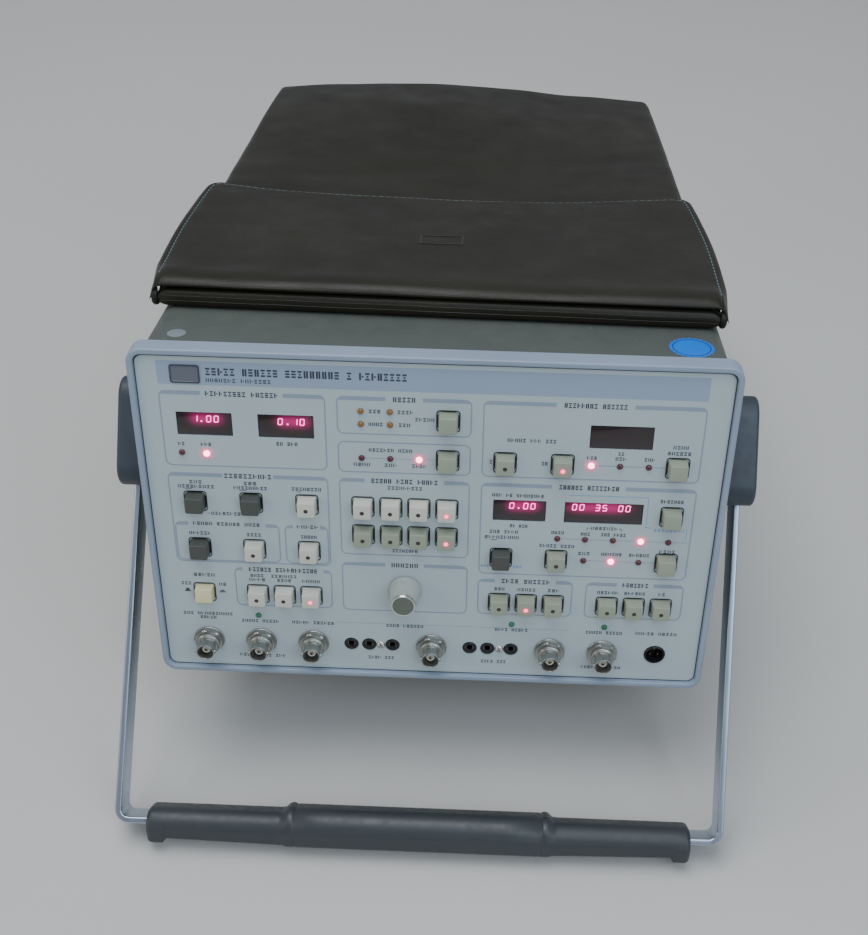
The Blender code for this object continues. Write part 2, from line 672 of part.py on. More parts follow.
def flap(hinge):
    """The flap that folds back over the mouth; its hinge line is its front lower edge."""
    lower, upper = [], []
    length = FLAP_END - POUCH_FRONT
    stations = [0.0, 40.0, 80.0, 115.0, length - FLAP_R, length - 6.0, length - 2.0, length]
    tool = bmesh.new()
    columns = 12
    for station in stations:
        y = POUCH_FRONT + station
        from_end = FLAP_END - y
        cut_back = FLAP_R - math.sqrt(max(0.0, FLAP_R**2 - max(0.0, FLAP_R - from_end) ** 2))
        half = FLAP_HALF - cut_back
        row = [(half - 2 * half * i / columns) for i in range(columns + 1)]
        rises = [pouch_rise(x, y) + GAP - FLAP_HINGE_RISE for x in row]
        lower.append([tool.verts.new((x, station, z)) for x, z in zip(row, rises)])
        upper.append([tool.verts.new((x, station, z + FLAP_T)) for x, z in zip(row, rises)])
    for sheet in (lower, upper):
        for first, second in zip(sheet, sheet[1:]):
            for i in range(columns):
                tool.faces.new((first[i], first[i + 1], second[i + 1], second[i]))
    for row in (0, -1):
        for i in range(columns):
            tool.faces.new((lower[row][i], lower[row][i + 1], upper[row][i + 1], upper[row][i]))
    for end in (0, columns):
        for first in range(len(stations) - 1):
            second = first + 1
            tool.faces.new((lower[first][end], lower[second][end], upper[second][end], upper[first][end]))
    place("pouch_flap", tool, "vinyl", hinge, smooth_angle=50)


# ---------------------------------------------------------------- standing on the floor


def lowest(objects):
    """The lowest corner and the extremes of these objects in the world."""
    graph = bpy.context.evaluated_depsgraph_get()
    points = []
    for obj in objects:
        evaluated = obj.evaluated_get(graph)
        points += [evaluated.matrix_world @ v.co for v in evaluated.data.vertices]
    low = Vector([min(p[i] for p in points) for i in range(3)])
    high = Vector([max(p[i] for p in points) for i in range(3)])
    return low, high


def stand(case):
    """Tilts the case until the grip and the rear feet stand equally low, then sets the whole on Z = 0."""
    grip, cover = bpy.data.objects["handle_grip"], bpy.data.objects["bottom_cover"]
    flat, steep = 0.0, math.radians(20)
    for _ in range(30):
        case.rotation_euler.x = -(flat + steep) / 2
        bpy.context.view_layer.update()
        if lowest([grip])[0].z < lowest([cover])[0].z:
            flat = -case.rotation_euler.x
        else:
            steep = -case.rotation_euler.x
    shown = [obj for obj in bpy.data.objects if obj.type == "MESH" and not obj.hide_render]
    low, high = lowest(shown)
    case.location = (-(low.x + high.x) / 2, -(low.y + high.y) / 2, -low.z)
    bpy.context.view_layer.update()


def main():
    clear_scene()
    case = empty("case_frame")
    bezel(case)
    front_panel(case)
    covers(case)
    rear_panel(case)
    for name, column, height, key in BUTTONS:
        button(name, column, height, key, case)
    knob(empty("knob_axis", case, (KNOB_X, PANEL_Y, KNOB_Z)))
    encoder(case)
    for number, column in enumerate(CONNECTOR_COLUMNS, 1):
        connector(f"coaxial_connector_{number}", column, case)
    for name, start in SOCKET_STARTS.items():
        balanced_socket(name, start, case)
    probe_jack(case)
    display_board(case)
    inner_pieces(case)
    handle_mounts(case)
    pivot = empty("handle_pivot", case, (0, PIVOT_Y, PIVOT_Z))
    pivot.rotation_euler.x = REST_ANGLE
    handle_hubs(pivot)
    handle_strap(pivot)
    handle_grip(pivot)
    pouch(case)
    flap(empty("flap_hinge", case, (0, POUCH_FRONT, POUCH_Z + FLAP_HINGE_RISE)))
    stand(case)


main()
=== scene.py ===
"""Looks of a bench test set with a bail handle and a vinyl accessory pouch.

Pieces are drawn in the instrument's own level frame, in millimetres, as in part.py: X to the right, Y from the
bezel's front towards the back, Z up from the bezel's bottom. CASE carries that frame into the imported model's.
"""

import json
import math
import random

import bmesh
import bpy
from mathutils import Matrix, Vector, noise


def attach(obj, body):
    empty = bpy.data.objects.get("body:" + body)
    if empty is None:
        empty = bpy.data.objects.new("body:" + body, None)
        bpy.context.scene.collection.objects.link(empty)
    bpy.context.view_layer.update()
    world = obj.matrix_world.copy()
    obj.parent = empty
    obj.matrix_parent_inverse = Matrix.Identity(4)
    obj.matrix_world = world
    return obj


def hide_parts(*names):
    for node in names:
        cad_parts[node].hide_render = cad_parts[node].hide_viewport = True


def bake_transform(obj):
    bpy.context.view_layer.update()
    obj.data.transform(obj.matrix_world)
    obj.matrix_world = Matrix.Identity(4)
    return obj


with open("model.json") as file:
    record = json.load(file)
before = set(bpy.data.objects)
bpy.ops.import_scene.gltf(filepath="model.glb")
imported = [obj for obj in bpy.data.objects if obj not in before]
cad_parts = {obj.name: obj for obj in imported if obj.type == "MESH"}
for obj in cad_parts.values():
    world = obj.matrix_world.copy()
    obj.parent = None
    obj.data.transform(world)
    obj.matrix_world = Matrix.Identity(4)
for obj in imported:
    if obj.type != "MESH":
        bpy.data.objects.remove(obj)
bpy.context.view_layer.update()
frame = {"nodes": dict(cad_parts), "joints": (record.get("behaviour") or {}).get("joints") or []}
JOINTS = {joint["name"]: joint for joint in frame["joints"]}
MM = 0.001

# Sizes that the design gives, in millimetres
WIDTH, HEIGHT = 296.6, 196.0
BEZEL_DEPTH, BEZEL_LIP, BEZEL_R = 10.0, 3.4, 8.0
PANEL_Y, PANEL_T = 2.7, 2.5
COVER_HALF, COVER_TOP, COVER_BOTTOM, SHEET = 143.0, 195.0, 1.0, 1.5
COVER_END, REAR_END, COVER_SPLIT, REAR_HALF = 424.0, 436.0, 14.0, 143.5
INLET_LOW, INLET_HIGH = (88.0, 25.0), (115.5, 45.0)
PITCH = 14.2875
ROW_LOCAL, ROW_RATE, ROW_UPPER, ROW_RECEIVER, ROW_MIDDLE, ROW_LOWER = 160.8, 138.6, 109.9, 93.0, 81.5, 52.7
ROW_SOCKETS = 21.3
CAP_W, CAP_H, CAP_FACE_W, CAP_FACE_H = 10.0, 10.2, 9.0, 8.6
KNOB_X, KNOB_Z, KNOB_LENGTH = -PITCH, 58.9, 15.2
CONNECTOR_COLUMNS = (-8.5, -6.5, -4.5, 0.0, 4.5, 6.5)
SOCKET_HOLES = (0.0, 9.7, 22.4)
SOCKET_STARTS = {"balanced_output_socket": -43.7, "balanced_input_socket": 20.8}
PROBE_COLUMN = 8.5
PIVOT_Y, PIVOT_Z, REST_ANGLE = 59.3, 118.4, math.radians(-29.1)
HUB_DEPTH, HUB_HEIGHT, HUB_CORNER, HUB_OUT = 60.0, 58.0, 11.0, 167.5
MOUNT_R, MOUNT_OUT, STUB_R = 27.0, 150.0, 6.0
STRAP_OUT, STRAP_T, STRAP_W, STRAP_BEND = 163.3, 3.6, 17.3, 8.0
STRAP_TOP, STRAP_LENGTH = -10.0, -211.0
LEG_START, LEG_SPLAY, LEG_LEAN = -33.0, 2.65, -4.0
GRIP_HALF, GRIP_CENTRE_HALF = 148.2, 67.0
GAP = 0.3
POUCH_Z = COVER_TOP + GAP
POUCH_END, FLAP_END, FLAP_R = 432.0, 211.0, 10.0
MOUTH_Y, MOUTH_HALF, MOUTH_FLOOR = (66.0, 150.0), 126.0, 1.6


def case_matrix():
    """The instrument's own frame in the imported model, read from the knob's axis, which is square to the panel."""
    knob = JOINTS["knob_turn"]
    right, inward = Vector((1, 0, 0)), Vector(knob["axis"]).normalized()
    up = right.cross(inward)
    turn = Matrix((right, inward, up)).transposed().to_4x4()
    origin = Vector(knob["pos_m"]) - turn @ (Vector((KNOB_X, PANEL_Y, KNOB_Z)) * MM)
    return Matrix.Translation(origin) @ turn @ Matrix.Scale(MM, 4)


CASE = case_matrix()
BAIL = CASE @ Matrix.Translation((0, PIVOT_Y, PIVOT_Z)) @ Matrix.Rotation(REST_ANGLE, 4, "X")

# ---------------------------------------------------------------- materials


class Nodes:
    """A small helper round one material's node tree."""

    def __init__(self, name):
        self.material = bpy.data.materials.new(name)
        self.material.use_nodes = True
        self.tree = self.material.node_tree
        self.shader = self.tree.nodes["Principled BSDF"]
        self.output = self.tree.nodes["Material Output"]
        self.place = self.tree.nodes.new("ShaderNodeTexCoord").outputs["Object"]

    def link(self, start, end):
        self.tree.links.new(start, end)

    def set(self, **values):
        for name, value in values.items():
            self.shader.inputs[name.replace("_", " ")].default_value = value

    def scaled(self, scale):
        node = self.tree.nodes.new("ShaderNodeMapping")
        node.inputs["Scale"].default_value = scale
        self.link(self.place, node.inputs["Vector"])
        return node.outputs["Vector"]

    def noise(self, scale, detail=2.0, rough=0.5, vector=None):
        node = self.tree.nodes.new("ShaderNodeTexNoise")
        node.inputs["Scale"].default_value = scale
        node.inputs["Detail"].default_value = detail
        node.inputs["Roughness"].default_value = rough
        self.link(vector or self.place, node.inputs["Vector"])
        return node.outputs["Fac"]

    def cells(self, scale):
        node = self.tree.nodes.new("ShaderNodeTexVoronoi")
        node.feature = "DISTANCE_TO_EDGE"
        node.inputs["Scale"].default_value = scale
        self.link(self.place, node.inputs["Vector"])
        return node.outputs["Distance"]

    def span(self, value, low, high, to_low=0.0, to_high=1.0):
        node = self.tree.nodes.new("ShaderNodeMapRange")
        for name, number in (("From Min", low), ("From Max", high), ("To Min", to_low), ("To Max", to_high)):
            node.inputs[name].default_value = number
        self.link(value, node.inputs["Value"])
        return node.outputs["Result"]

    def math(self, operation, first, second):
        node = self.tree.nodes.new("ShaderNodeMath")
        node.operation = operation
        for socket, value in zip(node.inputs, (first, second)):
            if isinstance(value, (int, float)):
                socket.default_value = value
            else:
                self.link(value, socket)
        return node.outputs["Value"]

    def mix(self, factor, first, second):
        node = self.tree.nodes.new("ShaderNodeMix")
        node.data_type = "RGBA"
        self.link(factor, node.inputs[0])
        for socket, value in ((node.inputs[6], first), (node.inputs[7], second)):
            if isinstance(value, tuple):
                socket.default_value = (*value, 1)
            else:
                self.link(value, socket)
        return node.outputs[2]

    def bump(self, height, strength, distance, under=None):
        node = self.tree.nodes.new("ShaderNodeBump")
        node.inputs["Strength"].default_value = strength
        node.inputs["Distance"].default_value = distance
        self.link(height, node.inputs["Height"])
        if under:
            self.link(under, node.inputs["Normal"])
        return node.outputs["Normal"]


def linear(red, green, blue):
    """A colour given as it looks on a screen, from 0 to 255, as the shader takes it."""
    return tuple(((c / 255 + 0.055) / 1.055) ** 2.4 if c > 10 else c / 255 / 12.92 for c in (red, green, blue))


def shade(colour, factor):
    return tuple(c * factor for c in colour)


def moulded(name, colour, roughness=0.5, grain=1800, bump=0.25, depth=0.00006, vary=0.12):
    """Paint or plastic: blotches in the colour, a fine skin texture and uneven gloss."""
    n = Nodes(name)
    n.set(Metallic=0.0)
    blotch = n.noise(38, 3.0)
    n.link(n.mix(blotch, shade(colour, 1 - vary), shade(colour, 1 + vary)), n.shader.inputs["Base Color"])
    n.link(n.span(n.noise(260, 3.0), 0.3, 0.7, roughness - 0.07, roughness + 0.09), n.shader.inputs["Roughness"])
    n.link(n.bump(n.noise(grain, 2.0), bump, depth), n.shader.inputs["Normal"])
    return n.material


def worn_paint(name, colour, under, roughness, amount=0.018, grain=1500):
    """Textured paint with small chips and scuffs that show the colour under it."""
    n = Nodes(name)
    n.set(Metallic=0.0)
    base = n.mix(n.noise(22, 4.0), shade(colour, 0.86), shade(colour, 1.12))
    chips = n.span(n.noise(420, 4.0, 0.62), 0.72 - amount, 0.745, 0.0, 0.85)
    n.link(n.mix(chips, base, under), n.shader.inputs["Base Color"])
    n.link(n.span(n.noise(90, 3.0), 0.3, 0.7, roughness - 0.06, roughness + 0.1), n.shader.inputs["Roughness"])
    fine = n.bump(n.noise(grain, 2.0), 0.3, 0.00012)
    n.link(n.bump(chips, 0.25, -0.0001, fine), n.shader.inputs["Normal"])
    return n.material


def metal(name, colour, roughness, streak=(1, 1, 1), scale=700):
    """Plated or drawn metal; streak stretches its fine marks along one direction."""
    n = Nodes(name)
    n.set(Metallic=1.0)
    marks = n.noise(scale, 4.0, 0.6, n.scaled(streak))
    n.link(n.mix(n.noise(60, 3.0), shade(colour, 0.85), colour), n.shader.inputs["Base Color"])
    n.link(n.span(marks, 0.25, 0.75, roughness - 0.08, roughness + 0.12), n.shader.inputs["Roughness"])
    n.link(n.bump(marks, 0.15, 0.00004), n.shader.inputs["Normal"])
    return n.material


def vinyl(name, colour, highlight):
    """Leather-grained vinyl: small cells, slow folds, scuffed patches."""
    n = Nodes(name)
    n.set(Metallic=0.0, Specular_IOR_Level=0.3)
    patches = n.span(n.noise(16, 5.0, 0.6), 0.35, 0.7)
    n.link(n.mix(patches, colour, highlight), n.shader.inputs["Base Color"])
    n.link(n.span(n.noise(45, 4.0), 0.3, 0.7, 0.33, 0.47), n.shader.inputs["Roughness"])
    cells = n.span(n.cells(900), 0.0, 0.22)
    pores = n.bump(cells, 0.28, 0.00016)
    n.link(n.bump(n.noise(170, 4.0, 0.6), 0.22, 0.0006, pores), n.shader.inputs["Normal"])
    return n.material


def glowing(name, colour, light, strength):
    """A lit lens: its own colour with light from inside."""
    n = Nodes(name)
    n.set(Metallic=0.0, Roughness=0.25, Emission_Color=(*light, 1), Emission_Strength=strength)
    n.link(n.mix(n.noise(900, 2.0), shade(colour, 0.85), colour), n.shader.inputs["Base Color"])
    return n.material


def lens(name, colour):
    """An unlit lamp's dyed plastic."""
    n = Nodes(name)
    n.set(Metallic=0.0, Roughness=0.22, Coat_Weight=0.4, Coat_Roughness=0.1)
    n.link(n.mix(n.noise(500, 2.0), shade(colour, 0.75), shade(colour, 1.25)), n.shader.inputs["Base Color"])
    return n.material


def window_glass(name, colour):
    """Dark red filter glass that glows with painted light round the lit digits. UV says where the lit digits stand:
    U is 1 on their row, V falls off round them.
    """
    n = Nodes(name)
    n.set(Metallic=0.0, Roughness=0.12, Coat_Weight=0.5, Emission_Strength=1.0)
    uv = n.tree.nodes.new("ShaderNodeUVMap")
    parts = n.tree.nodes.new("ShaderNodeSeparateXYZ")
    n.link(uv.outputs["UV"], parts.inputs["Vector"])
    along, across = parts.outputs["X"], parts.outputs["Y"]
    beyond = n.math("MAXIMUM", n.math("SUBTRACT", n.math("ABSOLUTE", along, 0.0), 1.0), 0.0)
    away = n.math("ADD", n.math("MULTIPLY", beyond, beyond), n.math("MULTIPLY", across, across))
    fall = n.math("POWER", 2.718, n.math("MULTIPLY", away, -1.0))
    n.link(n.mix(n.noise(300, 2.0), shade(colour, 0.8), shade(colour, 1.2)), n.shader.inputs["Base Color"])
    n.link(n.mix(fall, (0.0, 0.0, 0.0), GLOW), n.shader.inputs["Emission Color"])
    return n.material


def halo_material(name, light, strength):
    """Light that a lamp throws on the paint round it; UV runs from -1 to 1 across the patch."""
    n = Nodes(name)
    uv = n.tree.nodes.new("ShaderNodeUVMap")
    length = n.tree.nodes.new("ShaderNodeVectorMath")
    length.operation = "LENGTH"
    n.link(uv.outputs["UV"], length.inputs[0])
    fall = n.math("POWER", n.math("SUBTRACT", 1.0, n.math("MINIMUM", length.outputs["Value"], 1.0)), 2.2)
    colour = (*light, 1)
    n.set(Metallic=0.0, Roughness=0.6, Base_Color=colour, Emission_Color=colour, Emission_Strength=strength)
    n.link(fall, n.shader.inputs["Alpha"])
    return n.material


# Colour of the painted glow of the digits' light on the display windows.
GLOW = (0.5, 0.0, 0.16)
M = {}


PAINTS = {  # colour as seen, then roughness, grain, bump, depth and variation
    "panel": ("panel_paint", (176, 190, 194), 0.42, 1600, 0.12, 0.00005, 0.035),
    # The stitches' light blue-grey is partly the thread's own colour, partly painted highlight of the seam's ridge
    # catching light.
    "thread": ("stitch_thread", (96, 112, 112), 0.6, 3000, 0.3, 0.00005, 0.2),
    "mount": ("mount_plastic", (54, 63, 72), 0.46, 1500, 0.3),
    "grip": ("grip_plastic", (54, 59, 62), 0.43, 1100, 0.35, 0.00008, 0.1),
    "knob": ("knob_plastic", (166, 174, 168), 0.34, 1700, 0.2, 0.00005, 0.08),
    "knob_face": ("knob_face", (96, 104, 92), 0.4, 1700, 0.2),
    "black": ("black_plastic", (26, 27, 29), 0.34, 1500, 0.2),
    "insulator": ("white_insulator", (206, 206, 200), 0.4, 1500, 0.15),
    "board": ("circuit_board", (44, 84, 56), 0.45, 700, 0.3),
    "key_grey": ("key_grey", (152, 158, 140), 0.42, 1500, 0.16, 0.00005, 0.05),
    "key_white": ("key_white", (204, 204, 192), 0.42, 1500, 0.16, 0.00005, 0.05),
    "key_dark": ("key_dark", (72, 75, 70), 0.42, 1500, 0.16, 0.00005, 0.05),
    "key_cream": ("key_cream", (222, 216, 170), 0.42, 1500, 0.16, 0.00005, 0.05),
    "ink": ("legend_ink", (54, 58, 70), 0.5, 1500, 0.1, 0.00003, 0.15),
    "ink_blue": ("legend_ink_blue", (112, 150, 196), 0.5, 1500, 0.1, 0.00003, 0.1),
    "line": ("frame_ink", (142, 154, 170), 0.5, 1500, 0.1, 0.00003, 0.06),
    "band": ("header_band", (148, 164, 184), 0.45, 1500, 0.1, 0.00003, 0.03),
    "badge": ("badge_plate", (98, 102, 112), 0.32, 1500, 0.15, 0.00004, 0.06),
    "sticker_blue": ("sticker_blue", (22, 118, 226), 0.35, 800, 0.3, 0.0001, 0.1),
    "sticker_edge": ("sticker_edge", (16, 74, 160), 0.4, 800, 0.3),
    "sticker_grey": ("sticker_grey", (122, 134, 138), 0.4, 900, 0.2),
}
LENSES = {
    "digit_off": ("unlit_digit", (0.07, 0.008, 0.012)),
    "lamp_red": ("lamp_red", (0.085, 0.01, 0.016)),
    "lamp_amber": ("lamp_amber", (0.24, 0.115, 0.025)),
    "lamp_green": ("lamp_green", (0.02, 0.17, 0.08)),
    "key_off": ("key_lamp", (0.035, 0.02, 0.015)),
}


def make_materials():
    for key, (name, colour, *surface) in PAINTS.items():
        M[key] = moulded(name, linear(*colour), *surface)
    for key, (name, colour) in LENSES.items():
        M[key] = lens(name, colour)
    M["bezel"] = worn_paint("bezel_paint", linear(142, 156, 174), linear(205, 212, 220), 0.36, 0.006)
    M["cover"] = worn_paint("cover_paint", linear(82, 88, 83), linear(170, 174, 168), 0.5, 0.015, 900)
    M["vinyl"] = vinyl("pouch_vinyl", linear(31, 29, 20), linear(40, 38, 28))
    M["binding"] = vinyl("binding_vinyl", linear(28, 28, 22), linear(36, 36, 30))
    M["emboss"] = vinyl("embossed_vinyl", linear(46, 48, 42), linear(58, 62, 58))
    M["strap"] = metal("strap_metal", (0.50, 0.57, 0.68), 0.3, (1, 0.04, 0.04), 500)
    M["nickel"] = metal("nickel_plate", (0.40, 0.40, 0.375), 0.32)
    M["bright"] = metal("bright_plate", (0.80, 0.80, 0.79), 0.2)
    M["brass"] = metal("contact_brass", (0.36, 0.31, 0.22), 0.36)
    M["steel"] = metal("sheet_steel", (0.50, 0.50, 0.52), 0.4)
    M["window"] = window_glass("display_window", (0.012, 0.002, 0.005))
    M["digit"] = glowing("lit_digit", (0.9, 0.2, 0.5), (1.0, 0.13, 0.5), 3.2)
    M["lamp_on"] = glowing("lamp_lit", (0.9, 0.35, 0.42), (1.0, 0.30, 0.46), 8.0)
    M["key_on"] = glowing("key_lamp_lit", (0.9, 0.2, 0.3), (1.0, 0.12, 0.24), 3.0)
    M["halo"] = halo_material("lamp_halo", (1.0, 0.10, 0.24), 0.9)


# ---------------------------------------------------------------- mesh tools


def finish_piece(name, tool, body, key, turn=CASE, angle=35):
    """A piece from a bmesh in millimetres in the case's frame, or in the bail's own."""
    bmesh.ops.recalc_face_normals(tool, faces=tool.faces)
    mesh = bpy.data.meshes.new(name)
    tool.to_mesh(mesh)
    tool.free()
    mesh.transform(turn)
    mesh.shade_smooth()
    mesh.set_sharp_from_angle(angle=math.radians(angle))
    mesh.materials.append(M[key])
    made = bpy.data.objects.new(name, mesh)
    bpy.context.scene.collection.objects.link(made)
    if body:
        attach(made, body)
    return made


def rounded_rectangle(width, height, radius, steps, middle=(0.0, 0.0)):
    points = []
    for side, end, start in ((1, -1, -90), (1, 1, 0), (-1, 1, 90), (-1, -1, 180)):
        centre_a = middle[0] + side * (width / 2 - radius)
        centre_b = middle[1] + end * (height / 2 - radius)
        for step in range(steps + 1):
            angle = math.radians(start + 90 * step / steps)
            points.append((centre_a + radius * math.cos(angle), centre_b + radius * math.sin(angle)))
    return points


def at_y(points, y):
    return [(a, y, b) for a, b in points]


def at_x(points, x):
    return [(x, a, b) for a, b in points]


def at_z(points, z):
    return [(a, b, z) for a, b in points]


def circle(radius, steps, middle=(0.0, 0.0)):
    angles = (2 * math.pi * i / steps for i in range(steps))
    return [(middle[0] + radius * math.cos(a), middle[1] + radius * math.sin(a)) for a in angles]


def add_loft(tool, loops, ring=False):
    """Skin between loops of equally many points, with end caps, or closed on itself as a ring."""
    rows = [[tool.verts.new(point) for point in loop] for loop in loops]
    count = len(rows[0])
    pairs = list(zip(rows, rows[1:] + rows[:1])) if ring else list(zip(rows, rows[1:]))
    for first, second in pairs:
        for i in range(count):
            j = (i + 1) % count
            tool.faces.new((first[i], first[j], second[j], second[i]))
    if not ring:
        tool.faces.new(rows[0])
        tool.faces.new(rows[-1])


def loft(loops, ring=False):
    tool = bmesh.new()
    add_loft(tool, loops, ring)
    return tool


def add_turned(tool, profile, steps, middle=(0.0, 0.0), put=at_y, ring=False):
    add_loft(tool, [put(circle(r, steps, middle), along) for along, r in profile], ring)


def turned(profile, steps, middle=(0.0, 0.0), put=at_y, ring=False):
    return loft([put(circle(r, steps, middle), along) for along, r in profile], ring)


def from_panel(profile):
    """A turned profile whose first numbers are measured from the panel's face."""
    return [(PANEL_Y + along, r) for along, r in profile]


def add_cross(tool, x, z, turns, reach, half_width, front, back):
    """Two crossed bars, the recess of a screw's head."""
    for turn in turns:
        a = math.radians(turn)
        along, side = Vector((math.cos(a), math.sin(a))), Vector((-math.sin(a), math.cos(a)))
        ends = [along * s * reach + side * t * half_width for s, t in ((-1, -1), (1, -1), (1, 1), (-1, 1))]
        add_plate(tool, [(x + p.x, z + p.y) for p in ends], front, back)


def add_plate(tool, outline, y_front, y_back):
    add_loft(tool, [at_y(outline, y_front), at_y(outline, y_back)])


def rounded_corners(profile, radius, steps=3):
    """The (along, radius) profile of a turned piece with each inner corner rounded."""
    made = [profile[0]]
    for before, corner, after in zip(profile, profile[1:], profile[2:]):
        a, c, b = Vector(before), Vector(corner), Vector(after)
        reach = min(radius, (a - c).length * 0.45, (b - c).length * 0.45)
        start, end = c + (a - c).normalized() * reach, c + (b - c).normalized() * reach
        for step in range(steps + 1):
            t = step / steps
            made.append(tuple((1 - t) ** 2 * start + 2 * t * (1 - t) * c + t**2 * end))
    made.append(profile[-1])
    return made


# ---------------------------------------------------------------- case


def bezel():
    steps = 12

    def loop(inset, y, radius):
        return at_y(rounded_rectangle(WIDTH - 2 * inset, HEIGHT - 2 * inset, radius, steps, (0, HEIGHT / 2)), y)

    ledge = BEZEL_LIP + 5.0
    back = PANEL_Y + PANEL_T + GAP
    inner_r = BEZEL_R - BEZEL_LIP
    loops = [loop(0.0, BEZEL_DEPTH, BEZEL_R), loop(0.15, BEZEL_DEPTH - 5, BEZEL_R - 0.1)]
    edge = 0.9  # the front's outer rounding
    for step in range(6):
        a = math.radians(90 * step / 5)
        inset, y = 0.3 + edge * (1 - math.cos(a)), edge * (1 - math.sin(a))
        loops.append(loop(inset, y, BEZEL_R - inset))
    for step in range(5):
        a = math.radians(90 * step / 4)
        inset, y = BEZEL_LIP - 0.9 * (1 - math.sin(a)), 0.9 * (1 - math.cos(a))
        loops.append(loop(inset, y, inner_r + 0.9 * (1 - math.sin(a))))
    loops += [loop(BEZEL_LIP, back, inner_r), loop(ledge, back, 4.0), loop(ledge, BEZEL_DEPTH, 4.0)]
    piece = finish_piece("bezel_frame", loft(loops, ring=True), "chassis", "bezel", angle=40)
    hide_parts("front_bezel")
    # A dark ring on the panel's face just inside the lip: a narrow dark gap, with painted shadow that makes it
    # widest along the top, under the lip.
    outer = rounded_rectangle(WIDTH - 2 * BEZEL_LIP, HEIGHT - 2 * BEZEL_LIP, inner_r, steps, (0, HEIGHT / 2))
    width, height = WIDTH - 2 * BEZEL_LIP - 1.1, HEIGHT - 2 * BEZEL_LIP - 1.9
    inner = rounded_rectangle(width, height, inner_r - 0.5, steps, (0, HEIGHT / 2 - 0.4))
    front, rear = PANEL_Y - 0.05, PANEL_Y + 0.1
    shadow_gap = loft([at_y(outer, front), at_y(inner, front), at_y(inner, rear), at_y(outer, rear)], ring=True)
    finish_piece("panel_shadow_gap", shadow_gap, "chassis", "mount")


def folded_sheet(half, low, high, radius, steps=10):
    """The outline of a sheet folded down at both sides."""

    def half_outline(inset):
        corner, top = radius - inset, high - inset
        points = [(half - inset, low)]
        for step in range(steps + 1):
            angle = math.radians(90 * step / steps)
            x = half - inset - corner + corner * math.cos(angle)
            points.append((x, top - corner + corner * math.sin(angle)))
        return points

    outer, inner = half_outline(0.0), half_outline(SHEET)
    whole_outer = outer + [(-x, z) for x, z in reversed(outer)]
    whole_inner = inner + [(-x, z) for x, z in reversed(inner)]
    return whole_outer + list(reversed(whole_inner))


def cover():
    start = BEZEL_DEPTH + GAP
    outline = folded_sheet(COVER_HALF, COVER_SPLIT + GAP, COVER_TOP, 8.0)
    tool = loft([at_y(outline, start), at_y(outline, COVER_END)])
    piece = finish_piece("top_cover_skin", tool, "chassis", "cover", angle=30)
    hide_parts("top_cover")


def finish_cad_nodes():
    """CAD nodes whose shape is right only get their materials."""
    chosen = {
        "front_panel": "panel",
        "bottom_cover": "cover",
        "rear_panel": "bezel",
        "handle_mount_left": "mount",
        "handle_mount_right": "mount",
        "knob_encoder": "steel",
        "display_board": "board",
        "main_board": "board",
        "mains_transformer": "steel",
        "balanced_output_socket": "black",
        "balanced_input_socket": "black",
        "probe_power_jack": "black",
    }
    for node, key in chosen.items():
        mesh = frame["nodes"][node].data
        mesh.materials.clear()
        mesh.materials.append(M[key])


# ---------------------------------------------------------------- front panel print

FRAMES = (  # left, right, bottom, top, title's half width or None for a thin frame
    (-134.6, -53.0, 130.6, 172.9, 18.6), (-47.7, 18.7, 152.0, 172.9, 7.5), (-47.7, 18.7, 130.1, 148.0, None),
    (24.1, 132.8, 130.1, 172.9, 17.5), (-134.6, -53.0, 72.2, 126.6, 11.4), (-47.7, 18.7, 80.2, 126.6, 18.5),
    (24.1, 132.8, 70.9, 126.6, 17.0), (-104.7, -53.0, 44.6, 69.5, 20.0), (-47.7, 18.7, 44.1, 75.3, 8.5),
    (24.1, 74.4, 44.6, 67.7, 14.5), (81.1, 132.8, 44.6, 67.7, 8.0),
)
PRINT_FRONT, PRINT_BACK = PANEL_Y - 0.06, PANEL_Y + 0.1


def add_strip(tool, outer, inner, front, back):
    """A flat strip along two lines of points, with a thickness."""
    loops = []
    for (a, b), (c, d) in zip(outer, inner):
        loops.append([(a, front, b), (c, front, d), (c, back, d), (a, back, b)])
    add_loft(tool, loops)


def add_frame(tool, left, right, bottom, top, title):
    """A thin line round a group, with a thicker bar at its top, both stopping short of the title."""
    line, radius, bar = 0.7, 3.4, 2.1
    middle = ((left + right) / 2, (bottom + top) / 2)
    gap = 0.01 if title is None else title + 1.6
    half_w, half_h = (right - left) / 2, (top - bottom) / 2

    def path(inset):
        corners = rounded_rectangle(2 * (half_w - inset), 2 * (half_h - inset), radius - inset, 5, middle)
        first = corners.index(max(corners, key=lambda p: (round(p[1], 6), p[0])))
        around = corners[first:] + corners[:first]
        clockwise = [around[0]] + around[:0:-1]
        return [(middle[0] + gap, top - inset)] + clockwise + [(middle[0] - gap, top - inset)]

    add_strip(tool, path(0.0), path(line), PRINT_FRONT, PRINT_BACK)
    if title is None:
        return
    corner = []
    for step in range(7):
        z = top - bar + bar * step / 6
        corner.append((radius - math.sqrt(max(0.0, radius**2 - (z - top + radius) ** 2)), z))
    for end, side in ((middle[0] - gap, 1), (middle[0] + gap, -1)):
        edge = left if side > 0 else right
        outline = [(edge + side * a, b) for a, b in corner] + [(end, top), (end, top - bar)]
        add_plate(tool, outline, PRINT_FRONT - 0.02, PRINT_BACK)


def add_rule(tool, x_from, z_from, x_to, z_to, width=0.4, lift=0.0):
    start, end = Vector((x_from, z_from)), Vector((x_to, z_to))
    side = (end - start).orthogonal().normalized() * width / 2
    outline = [start - side, end - side, end + side, start + side]
    add_plate(tool, [tuple(p) for p in outline], PRINT_FRONT - lift, PRINT_BACK)


def add_bar(tool, x, z, width, height):
    outline = [(x + i * width / 2, z + j * height / 2) for i, j in ((-1, -1), (1, -1), (1, 1), (-1, 1))]
    add_plate(tool, outline, PRINT_FRONT - 0.012, PRINT_BACK)


